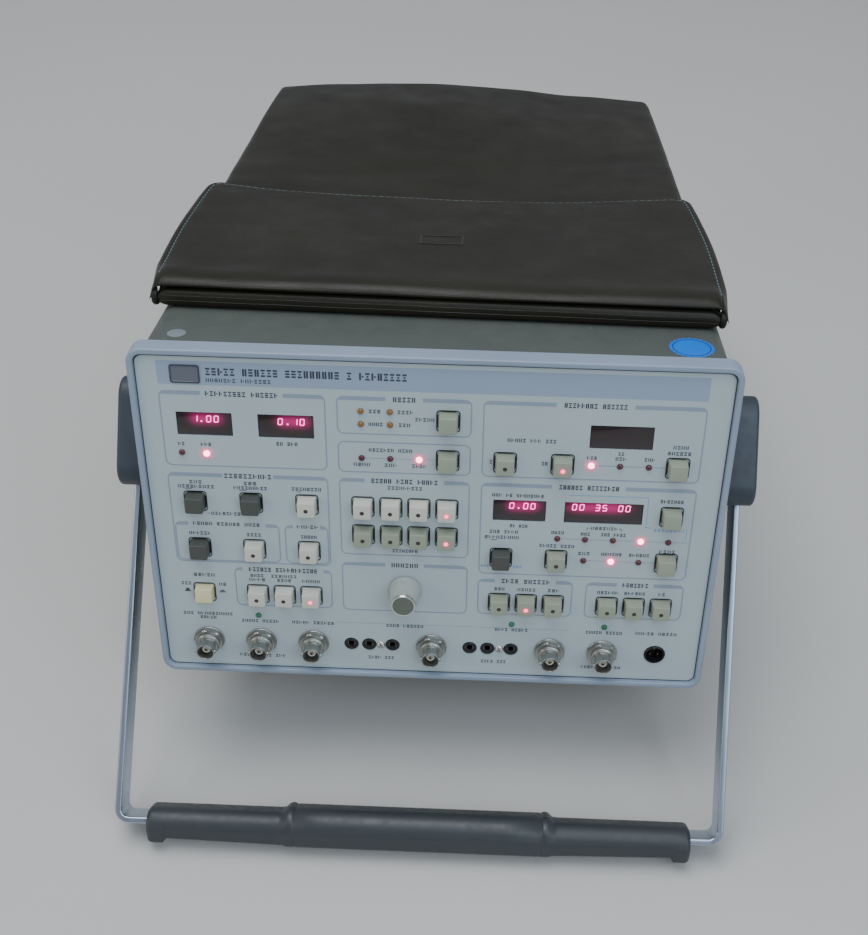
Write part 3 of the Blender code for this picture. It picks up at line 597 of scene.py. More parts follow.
def add_legend(tool, x, z, width, height, words, chance):
    """A line of greeked type: each letter is a few plain bars, so that it reads as type but says nothing."""
    slots = sum(words) + len(words) - 1
    advance = width / slots
    letter, stroke = advance * 0.72, height * 0.24
    at = x - width / 2 + advance / 2
    for word in words:
        for _ in range(word):
            kind = chance.choice(("two", "three", "posts", "post_bar", "two", "posts"))
            if kind in ("two", "three"):
                levels = (-1, 1) if kind == "two" else (-1, 0, 1)
                for level in levels:
                    add_bar(tool, at, z + level * (height - stroke) / 2, letter, stroke)
                if kind == "two":
                    add_bar(tool, at, z, letter * 0.45, stroke)
            elif kind == "posts":
                for level in (-1, 1):
                    add_bar(tool, at + level * (letter - stroke) / 2, z, stroke, height)
            else:
                add_bar(tool, at - (letter - stroke) / 2, z, stroke, height)
                add_bar(tool, at + letter * 0.28, z, letter * 0.4, stroke)
            at += advance
        at += advance


LEGENDS = (  # x, z, width, height, letters in each word
    (-93.8, 171.75, 36.0, 2.6, (9, 6)), (-14.5, 171.75, 11.5, 2.6, (5,)), (78.5, 171.75, 31.0, 2.6, (8, 6)),
    (-93.8, 125.45, 24.5, 2.6, (10,)), (-14.5, 125.45, 34.0, 2.6, (5, 4, 5)), (78.5, 125.45, 30.5, 2.6, (6, 8)),
    (-78.9, 68.4, 36.5, 2.6, (6, 11)), (-14.5, 74.2, 14.5, 2.6, (6,)), (49.3, 66.6, 26.0, 2.6, (4, 6)),
    (107.0, 66.6, 14.0, 2.6, (7,)), (-72.9, 145.0, 11.0, 2.0, (2, 3)), (-125.7, 143.3, 3.6, 1.9, (2,)),
    (-113.4, 143.3, 5.6, 1.9, (3,)), (-120.6, 121.3, 7.0, 1.9, (3,)), (-120.6, 118.6, 19.0, 1.9, (9,)),
    (-92.9, 121.3, 7.0, 1.9, (3,)), (-92.9, 118.6, 17.5, 1.9, (9,)), (-64.3, 119.0, 15.5, 1.9, (8,)),
    (-106.5, 102.7, 15.5, 1.9, (8,)), (-106.8, 96.3, 35.0, 2.0, (5, 6, 4)), (-121.0, 90.3, 11.5, 1.9, (6,)),
    (-92.9, 90.2, 7.8, 1.9, (4,)), (-64.3, 90.0, 8.6, 1.9, (5,)), (-64.8, 96.2, 11.5, 2.0, (5,)),
    (-64.3, 74.2, 8.6, 1.9, (5,)), (-121.0, 63.8, 11.6, 2.0, (5,)), (-131.0, 58.0, 5.6, 1.9, (3,)),
    (-111.6, 58.0, 4.2, 1.9, (2,)), (-92.9, 64.4, 7.4, 1.8, (4,)), (-92.9, 61.8, 9.0, 1.9, (4,)),
    (-78.6, 64.4, 14.0, 1.8, (7,)), (-78.6, 61.8, 7.8, 1.9, (4,)), (-64.3, 61.8, 9.8, 1.9, (5,)),
    (-29.0, 164.9, 6.2, 1.9, (3,)), (-14.0, 164.9, 8.0, 1.9, (4,)), (-28.6, 157.8, 7.4, 1.9, (4,)),
    (-14.4, 157.8, 6.2, 1.9, (3,)), (-4.4, 161.2, 10.0, 1.9, (5,)), (-21.4, 143.3, 22.0, 1.9, (7, 4)),
    (-35.8, 134.8, 8.8, 1.9, (4,)), (-21.4, 134.8, 6.6, 1.9, (3,)), (-7.1, 134.8, 7.6, 1.9, (4,)),
    (-14.3, 121.6, 18.0, 1.9, (9,)), (-14.3, 83.4, 13.5, 1.9, (8,)), (48.5, 151.5, 24.5, 2.0, (5, 3, 3)),
    (28.6, 138.8, 1.6, 2.0, (1,)), (55.4, 138.8, 3.2, 2.0, (2,)), (92.9, 145.7, 3.2, 1.9, (2,)),
    (78.6, 142.9, 5.2, 1.9, (3,)), (92.9, 142.9, 5.6, 1.9, (3,)), (107.2, 142.9, 5.6, 1.9, (3,)),
    (121.9, 150.4, 8.0, 1.9, (4,)), (121.5, 147.0, 12.0, 1.9, (6,)), (43.0, 119.6, 26.5, 1.9, (3, 2, 8)),
    (120.8, 119.0, 12.0, 1.9, (7,)), (44.1, 101.4, 9.4, 1.9, (2, 3)), (36.6, 97.6, 15.0, 1.9, (3, 4)),
    (35.7, 94.2, 18.0, 1.9, (9,)), (64.3, 89.9, 18.5, 1.9, (5, 4)), (64.3, 98.2, 6.8, 1.9, (4,)),
    (78.6, 97.9, 5.0, 1.9, (3,)), (92.9, 97.9, 13.0, 1.9, (3, 4)), (88.0, 101.6, 14.0, 1.8, (7,)),
    (78.6, 85.8, 6.6, 1.9, (3,)), (92.9, 85.8, 11.0, 1.9, (6,)), (107.2, 85.8, 11.0, 1.9, (6,)),
    (121.4, 88.6, 8.6, 1.9, (4,)), (35.7, 61.4, 5.8, 1.9, (3,)), (50.0, 61.4, 10.0, 1.9, (5,)),
    (64.3, 61.4, 6.8, 1.9, (3,)), (92.9, 61.4, 11.5, 1.9, (6,)), (107.2, 61.4, 11.5, 1.9, (6,)),
    (121.4, 61.4, 4.0, 1.9, (2,)), (-121.0, 38.4, 27.0, 1.9, (3, 10)), (-121.0, 35.8, 9.0, 1.9, (5,)),
    (-92.9, 34.5, 20.5, 1.9, (5, 5)), (-64.3, 34.5, 23.0, 1.9, (5, 6)), (-14.6, 34.5, 20.5, 1.9, (4, 6)),
    (43.0, 34.5, 18.0, 1.9, (4, 5)), (92.9, 34.8, 20.0, 1.9, (5, 5)), (121.0, 35.2, 22.5, 1.9, (5, 5)),
    (-27.6, 12.4, 14.5, 1.9, (4, 3)), (34.0, 12.4, 14.0, 1.9, (4, 3)), (-92.9, 11.0, 25.5, 1.9, (9, 3)),
    (92.9, 11.0, 22.0, 1.9, (8, 3)),
)
BLUE_LEGENDS = (
    (27.4, 76.0, 4.6, 1.6, (3,)), (44.4, 76.0, 5.0, 1.6, (3,)), (121.0, 101.6, 16.0, 1.6, (8,)),
)


def panel_print():
    lines = bmesh.new()
    for group in FRAMES:
        add_frame(lines, *group)
    add_frame(lines, -133.7, -79.3, 73.1, 97.1, 18.5)
    add_frame(lines, -76.7, -53.9, 73.1, 97.1, 5.4)
    for start, end, z in ((-35.8, 2.0, 138.6), (78.6, 116.0, 138.6), (64.3, 132.0, 94.5), (78.6, 116.0, 81.4)):
        add_rule(lines, start, z, end, z, 0.35, 0.002)
    for start, end, z in ((-52.0, 12.0, 35.6), (14.0, 74.0, 35.6)):
        add_rule(lines, start, z, end, z, 0.25, 0.002)
    finish_piece("panel_frames", lines, "chassis", "line")

    chance = random.Random(11)
    ink = bmesh.new()
    for legend in LEGENDS:
        add_legend(ink, *legend, chance)
    for x, z, width in ((-120.6, 117.0, 3.6), (-92.9, 117.0, 3.6), (-64.3, 117.3, 2.4), (35.7, 92.5, 3.4)):
        add_bar(ink, x - 4, z, width, 0.3)
    for x in (79.2, 96.8):  # a bracket over two lamps
        add_rule(ink, x, 100.2, x, 101.6, 0.3, 0.01)
    add_rule(ink, 79.2, 101.6, 80.6, 101.6, 0.3, 0.01)
    add_rule(ink, 95.4, 101.6, 96.8, 101.6, 0.3, 0.01)
    add_rule(ink, -116.0, 102.7, -114.6, 102.7, 0.3, 0.01)
    add_rule(ink, -98.4, 102.7, -97.0, 102.7, 0.3, 0.01)
    for x, low, high in ((-130.6, 0.6, 1.7), (-111.9, 0.6, 0.6)):  # key out and key in, beside the power key
        add_bar(ink, x, 53.0, 3.4, low)
        add_bar(ink, x, 53.9, 1.9, high)
    finish_piece("panel_legends", ink, "chassis", "ink")

    title = bmesh.new()
    add_legend(title, -61.8, 183.6, 98.0, 3.9, (5, 6, 9, 1, 8), chance)
    add_legend(title, -94.8, 179.0, 32.0, 2.0, (7, 7), chance)
    finish_piece("panel_title", title, "chassis", "ink")

    blue = bmesh.new()
    for legend in BLUE_LEGENDS:
        add_legend(blue, *legend, chance)
    for x_from, z_from, x_to, z_to in (
        (69.0, 121.0, 109.0, 121.0),
        (109.0, 121.0, 109.0, 103.0),
        (109.0, 103.0, 112.0, 103.0),
        (130.0, 103.0, 130.0, 96.5),
    ):
        add_rule(blue, x_from, z_from, x_to, z_to, 0.3, 0.01)
    finish_piece("panel_blue_print", blue, "chassis", "ink_blue")

    band = bmesh.new()
    add_plate(band, rounded_rectangle(266.5, 12.7, 0.4, 1, (-0.9, 182.6)), PANEL_Y - 0.03, PANEL_Y + 0.1)
    finish_piece("panel_header_band", band, "chassis", "band")

    badge = bmesh.new()
    middle = (-120.5, 182.2)
    front = PANEL_Y - 0.6
    plate = [(14.2, 9.4, 1.0, PANEL_Y + 0.1), (14.2, 9.4, 1.0, front), (13.6, 8.8, 0.8, front - 0.15)]
    plate += [(12.8, 8.0, 0.7, front - 0.15), (12.4, 7.6, 0.6, front + 0.1)]
    add_loft(badge, [at_y(rounded_rectangle(w, h, r, 4, middle), y) for w, h, r, y in plate])
    finish_piece("panel_badge", badge, "chassis", "badge")
    edge = bmesh.new()
    rings = [(14.6, 9.8, 1.2, front - 0.06), (13.3, 8.5, 0.8, front - 0.22)]
    rings += [(13.3, 8.5, 0.8, front), (14.6, 9.8, 1.2, front)]
    add_loft(edge, [at_y(rounded_rectangle(w, h, r, 4, middle), y) for w, h, r, y in rings], ring=True)
    finish_piece("panel_badge_edge", edge, "chassis", "ink")


# ---------------------------------------------------------------- displays and lamps

DISPLAYS = (  # middle x, z, width, height; digits' middle z; text as (x, figure)
    ("frequency", -113.2, 154.8, 27.6, 12.9, 157.6, ((-117.6, "1"), (-114.6, "."), (-110.9, "0"), (-107.2, "0"))),
    ("amplitude", -72.9, 154.8, 27.6, 12.9, 157.4, ((-75.6, "0"), (-72.0, "."), (-68.3, "1"), (-64.8, "0"))),
    ("received", 92.5, 154.8, 31.2, 12.9, 155.0, ()),
    ("interval", 44.1, 110.6, 26.9, 12.4, 113.4, ((40.1, "0"), (43.6, "."), (47.2, "0"), (50.9, "0"))),
    ("seconds", 86.9, 110.6, 39.9, 12.4, 113.8,
     ((72.0, "0"), (75.7, "0"), (83.7, "3"), (87.3, "5"), (95.4, "0"), (99.1, "0"))),
)
SEGMENTS = {"0": "abcdef", "1": "bc", "3": "abcdg", "5": "acdfg", "-": "g"}
DIGIT_W, DIGIT_H, DIGIT_LINE, DIGIT_SLANT = 2.0, 3.3, 0.5, 0.09


def add_digit(tool, x, z, figure, y):
    if figure == ".":
        add_plate(tool, circle(0.5, 10, (x, z - DIGIT_H / 2 + 0.3)), y, y + 0.08)
        return
    w, h, t = DIGIT_W / 2, DIGIT_H / 2, DIGIT_LINE / 2
    spots = {
        "a": (0, h, w, t),
        "g": (0, 0, w, t),
        "d": (0, -h, w, t),
        "b": (w, h / 2, t, h / 2),
        "c": (w, -h / 2, t, h / 2),
        "f": (-w, h / 2, t, h / 2),
        "e": (-w, -h / 2, t, h / 2),
    }
    for segment in SEGMENTS[figure]:
        a, b, half_w, half_h = spots[segment]
        half_w, half_h = max(half_w - 0.1, t), max(half_h - 0.1, t)
        corners = [(a + i * half_w, b + j * half_h) for i, j in ((-1, -1), (1, -1), (1, 1), (-1, 1))]
        slanted = [(x + p + q * DIGIT_SLANT, z + q) for p, q in corners]
        add_plate(tool, slanted, y, y + 0.08)


def displays():
    for name, x, z, width, height, row, text in DISPLAYS:
        tool = bmesh.new()
        outline = rounded_rectangle(width - 0.5, height - 0.5, 0.4, 2, (x, z))
        small = rounded_rectangle(width - 0.9, height - 0.9, 0.3, 2, (x, z))
        add_loft(tool, [at_y(small, PANEL_Y + 0.25), at_y(outline, PANEL_Y + 0.4), at_y(outline, PANEL_Y + 0.78)])
        layer = tool.loops.layers.uv.new("glow")
        xs = [at for at, _ in text]
        middle = (min(xs) + max(xs)) / 2 if text else 0.0
        half = (max(xs) - min(xs)) / 2 + 1.0 if text else 1.0
        for face in tool.faces:
            for corner in face.loops:
                across = (corner.vert.co.z - row) / 2.9 if text else 9.0
                offset = corner.vert.co.x - middle
                corner[layer].uv = (math.copysign(1 + (abs(offset) - half) / 2.9, offset) if text else 9.0, across)
        finish_piece(f"display_window_{name}", tool, "chassis", "window")
        digits = bmesh.new()
        for at, figure in text:
            add_digit(digits, at, row, figure, PANEL_Y + 0.18)
        if not text:
            for step in range(7):
                add_digit(digits, x - 12 + 4 * step, row, "-", PANEL_Y + 0.18)
        finish_piece(f"display_digits_{name}", digits, "chassis", "digit" if text else "digit_off")


LAMPS = (  # x, z, material
    (-125.7, 138.4, "lamp_red"), (-113.4, 138.2, "lamp_on"), (-35.8, 164.9, "lamp_amber"),
    (-21.5, 164.9, "lamp_amber"), (-35.8, 157.8, "lamp_amber"), (-21.5, 157.8, "lamp_amber"),
    (-35.8, 138.6, "lamp_red"), (-21.5, 138.6, "lamp_red"), (-7.1, 138.6, "lamp_on"), (78.6, 138.6, "lamp_on"),
    (92.9, 138.6, "lamp_red"), (107.2, 138.6, "lamp_red"), (64.3, 94.5, "lamp_red"), (78.6, 94.5, "lamp_red"),
    (92.9, 94.5, "lamp_red"), (107.2, 94.5, "lamp_on"), (121.4, 94.5, "lamp_red"), (78.6, 81.4, "lamp_red"),
    (92.9, 81.4, "lamp_on"), (107.2, 81.4, "lamp_red"), (-93.6, 38.4, "lamp_green"), (43.1, 38.4, "lamp_green"),
    (92.9, 38.6, "lamp_green"),
)


def lamps():
    for number, (x, z, key) in enumerate(LAMPS, 1):
        dome = [(PANEL_Y + 0.2, 1.6), (PANEL_Y - 0.35, 1.6)]
        for step in range(1, 6):
            a = math.radians(90 * step / 6)
            dome.append((PANEL_Y - 0.35 - 1.15 * math.sin(a), 1.6 * math.cos(a)))
        dome.append((PANEL_Y - 1.5, 0.15))
        tool = turned(dome, 20, (x, z))
        finish_piece(f"lamp_{number:02d}", tool, "chassis", key, angle=60)
        if key == "lamp_on":
            halo(f"lamp_halo_{number:02d}", x, z, 5.2, PANEL_Y - 0.1)


def halo(name, x, z, radius, y, body="chassis"):
    tool = bmesh.new()
    rim = [tool.verts.new(point) for point in at_y(circle(radius, 24, (x, z)), y)]
    face = tool.faces.new(rim)
    layer = tool.loops.layers.uv.new("patch")
    for corner in face.loops:
        corner[layer].uv = ((corner.vert.co.x - x) / radius, (corner.vert.co.z - z) / radius)
    finish_piece(name, tool, body, "halo")


# ---------------------------------------------------------------- keys

KEYS = (  # name, column, height, slot, lamp: None, off or on
    ("local", 0.5, ROW_LOCAL, "key_grey", None), ("display_rate", 0.5, ROW_RATE, "key_grey", None),
    ("range_low", 2.5, ROW_RATE, "key_grey", "off"), ("range_high", 4.5, ROW_RATE, "key_grey", "on"),
    ("peak_select", 8.5, ROW_RATE, "key_grey", None), ("set_frequency", -8.5, ROW_UPPER, "key_dark", None),
    ("set_amplitude", -6.5, ROW_UPPER, "key_dark", None), ("external", -4.5, ROW_UPPER, "key_white", "off"),
    ("generator_1", -2.5, ROW_UPPER, "key_white", "off"), ("generator_2", -1.5, ROW_UPPER, "key_white", "off"),
    ("generator_3", -0.5, ROW_UPPER, "key_white", "off"), ("generator_4", 0.5, ROW_UPPER, "key_white", "on"),
    ("display", 8.5, ROW_UPPER, "key_grey", None), ("receiver_1", -2.5, ROW_RECEIVER, "key_grey", "off"),
    ("receiver_2", -1.5, ROW_RECEIVER, "key_grey", "off"), ("receiver_3", -0.5, ROW_RECEIVER, "key_grey", "off"),
    ("receiver_4", 0.5, ROW_RECEIVER, "key_grey", "on"), ("manual", -8.5, ROW_MIDDLE, "key_dark", None),
    ("auto", -6.5, ROW_MIDDLE, "key_white", "off"), ("external_clock", -4.5, ROW_MIDDLE, "key_white", "off"),
    ("threshold", 2.5, ROW_MIDDLE, "key_dark", None), ("start_stop", 4.5, ROW_MIDDLE, "key_grey", "off"),
    ("mode", 8.5, ROW_MIDDLE, "key_grey", None), ("power", -8.5, ROW_LOWER, "key_cream", None),
    ("apply_1", -6.5, ROW_LOWER, "key_white", "off"), ("apply_2", -5.5, ROW_LOWER, "key_white", "off"),
    ("apply_3", -4.5, ROW_LOWER, "key_white", "on"), ("format_1", 2.5, ROW_LOWER, "key_grey", "off"),
    ("format_2", 3.5, ROW_LOWER, "key_grey", "on"), ("format_3", 4.5, ROW_LOWER, "key_grey", "off"),
    ("filter_1", 6.5, ROW_LOWER, "key_grey", "off"), ("filter_2", 7.5, ROW_LOWER, "key_grey", "off"),
    ("filter_3", 8.5, ROW_LOWER, "key_grey", "off"),
)


def key_gap_shade():
    """Dark rings on the panel's face round the keys: painted shade of the gap round each cap."""
    tool = bmesh.new()
    for _, column, z, _, _ in KEYS:
        middle = (column * PITCH, z)
        outer = rounded_rectangle(CAP_W + 1.9, CAP_H + 1.9, 1.9, 4, middle)
        inner = rounded_rectangle(CAP_W + 0.7, CAP_H + 0.7, 1.3, 4, middle)
        front, back = PANEL_Y - 0.12, PANEL_Y + 0.3
        add_loft(tool, [at_y(outer, front), at_y(inner, front), at_y(inner, back), at_y(outer, back)], ring=True)
    finish_piece("key_gap_shade", tool, "chassis", "black")


def keys():
    key_gap_shade()
    for name, column, z, slot, lamp in KEYS:
        x, body = column * PITCH, "key_" + name
        node_front = case_front("button_" + name)
        steps, soft = 4, 0.4
        loops = []
        for step in range(5):
            a = math.radians(90 * step / 4)
            inset, back = soft * (1 - math.sin(a)), soft * (1 - math.cos(a))
            shrink = 2 * inset
            outline = rounded_rectangle(CAP_FACE_W - shrink, CAP_FACE_H - shrink, 1.0 - inset, steps, (x, z))
            loops.append(at_y(outline, node_front + back))
        behind = PANEL_Y + PANEL_T + GAP
        base = rounded_rectangle(CAP_W, CAP_H, 1.2, steps, (x, z))
        collar = rounded_rectangle(CAP_W + 2.3, CAP_H + 2.1, 1.7, steps, (x, z))
        stem = rounded_rectangle(4.0, 4.0, 0.5, steps, (x, z))
        loops += [at_y(base, behind), at_y(collar, behind), at_y(collar, behind + 1.2)]
        loops += [at_y(stem, behind + 1.2), at_y(stem, PANEL_Y + 9.0)]
        piece = finish_piece("cap_" + name, loft(loops), body, slot, angle=50)
        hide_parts("button_" + name)
        if lamp:
            profile = [(node_front + 0.3, 1.15), (node_front - 0.04, 1.15), (node_front - 0.1, 0.95)]
            tool = turned(profile, 16, (x, z - 0.4))
            finish_piece("cap_lamp_" + name, tool, body, "key_" + lamp)
            if lamp == "on":
                halo("cap_halo_" + name, x, z - 0.4, 3.0, node_front - 0.02, body)


def case_front(node):
    """How far forward a CAD node reaches, in the case's own frame."""
    inverse = CASE.inverted()
    return min((inverse @ vertex.co).y for vertex in frame["nodes"][node].data.vertices)


def knob():
    """Skirt, fluted body, chamfered front ring and a recessed face."""
    steps, flutes = 216, 36
    front = PANEL_Y - KNOB_LENGTH

    def ring(y, radius, depth=0.0):
        points = []
        for i in range(steps):
            a = 2 * math.pi * i / steps
            r = radius - depth * (0.5 + 0.5 * math.cos(flutes * a))
            points.append((KNOB_X + r * math.cos(a), y, KNOB_Z + r * math.sin(a)))
        return points

    body = [
        ring(PANEL_Y - 0.6, 8.6),
        ring(PANEL_Y - 1.9, 8.7),
        ring(PANEL_Y - 2.3, 8.3),
        ring(PANEL_Y - 2.8, 8.1, 0.0),
        ring(PANEL_Y - 3.1, 8.05, 0.4),
        ring(front + 2.2, 7.0, 0.4),
        ring(front + 1.8, 6.8, 0.0),
        ring(front + 0.5, 6.3),
        ring(front + 0.1, 6.1),
        ring(front, 5.9),
        ring(front, 5.75),
        ring(front + 0.7, 5.6),
    ]
    piece = finish_piece("knob_body", loft(body), "knob_body", "knob", angle=50)
    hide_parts("knob")
    middle = (KNOB_X, KNOB_Z)
    trim = ((1.5, 6.75), (0.35, 6.42), (-0.02, 6.15), (-0.02, 5.7), (0.4, 5.6))
    trim = turned([(front + y, r) for y, r in trim], 72, middle)
    finish_piece("knob_ring", trim, "knob_body", "bright", angle=40)
    face = turned([(front + 0.5, 5.62), (front + 0.3, 5.5), (front + 0.32, 1.0)], 48, middle)
    finish_piece("knob_cap", face, "knob_body", "knob_face")
    shaft = turned(from_panel(((-0.7, 3.1), (11.0, 3.1))), 32, middle)
    finish_piece("knob_shaft", shaft, "knob_body", "steel")


# ---------------------------------------------------------------- connectors


COAXIAL_SHELL = (  # distance from the panel's face and radius, as in every profile of this section
    (9.0, 2.6),
    (5.0, 2.6),
    (5.0, 5.9),
    (-0.2, 5.9),
    (-3.4, 5.9),
    (-3.4, 6.4),
    (-5.4, 6.4),
    (-5.9, 5.5),
    (-6.6, 5.5),
    (-6.6, 4.6),
    (-8.2, 4.6),
    (-8.4, 4.85),
    (-12.8, 4.85),
    (-12.8, 4.25),
    (-12.3, 4.1),
    (-6.5, 4.1),
    (-6.5, 1.5),
)
COAXIAL_WASHER = ((-0.2, 6.2), (-0.2, 8.2), (-0.9, 8.35), (-1.2, 8.1), (-1.2, 6.2))
COAXIAL_INSULATOR = ((-6.4, 2.9), (-6.4, 2.3), (-9.6, 2.25), (-9.9, 2.05), (-9.9, 1.2), (-8.0, 1.1))
COAXIAL_PIN = ((-7.9, 1.12), (-10.2, 1.12), (-10.35, 0.95), (-10.35, 0.6), (-8.5, 0.55))
NUT_ACROSS = 7.15  # half the nut's width across its flats


def coaxial_connector(number, column):
    """Hexagon nut on a washer, stepped body, bayonet barrel with two lugs, white insulator and centre contact."""
    middle = (column * PITCH, ROW_SOCKETS)
    tool = turned(rounded_corners(from_panel(COAXIAL_SHELL), 0.25), 48, middle)
    add_turned(tool, from_panel(COAXIAL_WASHER), 48, middle)
    corner = NUT_ACROSS / math.cos(math.radians(30))
    nut = []
    for y, limit in from_panel(((-1.2, corner), (-3.1, corner), (-3.6, NUT_ACROSS * 1.02))):
        loop = []
        for i in range(48):
            a = 2 * math.pi * i / 48
            to_flat = NUT_ACROSS / math.cos((a + math.radians(12)) % math.radians(60) - math.radians(30))
            r = min(to_flat, limit)
            loop.append((middle[0] + r * math.cos(a), y, middle[1] + r * math.sin(a)))
        nut.append(loop)
    add_loft(tool, nut)
    for side in (-1, 1):
        lug = [(side * x + middle[0], r) for x, r in ((4.5, 0.95), (5.35, 0.95), (5.55, 0.7))]
        add_turned(tool, lug, 14, (PANEL_Y - 11.3, middle[1]), put=at_x)
    piece = finish_piece(f"coaxial_shell_{number}", tool, "chassis", "nickel", angle=32)
    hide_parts(f"coaxial_connector_{number}")
    core = turned(from_panel(COAXIAL_INSULATOR), 32, middle)
    finish_piece(f"coaxial_insulator_{number}", core, "chassis", "insulator")
    contact = turned(from_panel(COAXIAL_PIN), 20, middle)
    finish_piece(f"coaxial_contact_{number}", contact, "chassis", "brass")


def balanced_socket(name, start):
    """Three holes, each with a rim and a contact sleeve, and a screw."""
    rims, contacts = bmesh.new(), bmesh.new()
    rim = ((0.4, 3.62), (-0.45, 3.62), (-0.6, 3.45), (-0.5, 2.7), (0.3, 2.3), (0.5, 2.3))
    wall = ((0.45, 2.28), (0.45, 1.75), (5.0, 1.7), (5.0, 2.05))
    for hole in SOCKET_HOLES:
        middle = (start + hole, ROW_SOCKETS)
        add_turned(rims, from_panel(rim), 32, middle, ring=True)
        add_turned(contacts, from_panel(wall), 24, middle, ring=True)
    finish_piece(f"{name}_rims", rims, "chassis", "black")
    finish_piece(f"{name}_contacts", contacts, "chassis", "nickel")
    screw(f"{name}_screw", start + 16.1, ROW_SOCKETS, 2.3)


def screw(name, x, z, radius):
    """A pan-head screw with a cross recess."""
    head = ((0.1, radius), (-0.35, radius), (-0.95, radius * 0.82), (-1.2, radius * 0.45))
    finish_piece(name, turned(from_panel(head), 28, (x, z)), "chassis", "bright", angle=60)
    cross = bmesh.new()
    add_cross(cross, x, z, (20, 110), radius * 0.5, 0.22, PANEL_Y - 1.22, PANEL_Y - 1.0)
    finish_piece(name + "_recess", cross, "chassis", "black")


def probe_jack():
    """The rim of the probe power jack, and its three pins."""
    middle = (PROBE_COLUMN * PITCH, ROW_SOCKETS)
    rim = ((0.2, 5.55), (-0.7, 5.5), (-0.95, 5.25), (-0.8, 4.9), (0.2, 4.75))
    finish_piece("probe_jack_rim", turned(from_panel(rim), 48, middle, ring=True), "chassis", "black")
    pins, spread = bmesh.new(), 2.4
    for turn in range(3):
        a = math.radians(90 + 120 * turn)
        spot = (middle[0] + spread * math.cos(a), middle[1] + spread * math.sin(a))
        add_turned(pins, from_panel(((6.5, 0.55), (2.2, 0.55), (1.8, 0.3))), 12, spot)
    finish_piece("probe_jack_pins", pins, "chassis", "brass")


# ---------------------------------------------------------------- bail handle


def hub_slot(side):
    """The pocket of a hub that holds the strap, as a cutting shape."""
    reach = sorted((side * (STRAP_OUT - STRAP_T - GAP), side * (STRAP_OUT + GAP)))
    middle = (0, (STRAP_TOP + GAP - HUB_HEIGHT) / 2)
    outline = rounded_rectangle(STRAP_W + 2 * GAP, HUB_HEIGHT + STRAP_TOP + GAP, 1.0, 3, middle)
    return loft([at_x(outline, reach[0]), at_x(outline, reach[1])])


def hubs():
    """A rounded block at each end of the bail, turning on a disc that is fixed to the cover."""
    inner = MOUNT_OUT + GAP

    def loop(x, inset):
        return at_x(rounded_rectangle(HUB_DEPTH - 2 * inset, HUB_HEIGHT - 2 * inset, HUB_CORNER - inset, 9), x)

    for side, word in ((-1, "left"), (1, "right")):
        loops = [loop(side * inner, 0.4), loop(side * (inner + 0.4), 0.0)]
        for step in range(7):
            a = math.radians(90 * step / 6)
            loops.append(loop(side * (HUB_OUT - 2.0 + 2.0 * math.sin(a)), 2.0 * (1 - math.cos(a))))
        loops += [loop(side * HUB_OUT, 5.5), loop(side * (HUB_OUT - 0.25), 5.8), loop(side * (HUB_OUT - 0.25), 8.0)]
        piece = finish_piece("hub_" + word, loft(loops), "handle", "mount", turn=BAIL, angle=32)
        bore = turned([(side * (inner - 1), STUB_R + 0.6), (side * (inner + 4.5), STUB_R + 0.6)], 48, put=at_x)
        apply_boolean(piece, finish_piece("bore_" + word, bore, "handle", "mount", turn=BAIL))
        apply_boolean(piece, finish_piece("slot_" + word, hub_slot(side), "handle", "mount", turn=BAIL))
        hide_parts("handle_hub_" + word)
        outer = [
            (side * (COVER_HALF + GAP), MOUNT_R - 0.8),
            (side * (COVER_HALF + 1.0), MOUNT_R),
            (side * (MOUNT_OUT - 0.6), MOUNT_R),
            (side * MOUNT_OUT, MOUNT_R - 0.6),
            (side * MOUNT_OUT, STUB_R),
            (side * (MOUNT_OUT + 4), STUB_R),
        ]
        disc = turned(rounded_corners(outer, 0.5), 72, (PIVOT_Y, PIVOT_Z), put=at_x)
        mount = finish_piece("mount_disc_" + word, disc, "chassis", "mount", angle=32)
        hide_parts("handle_mount_" + word)


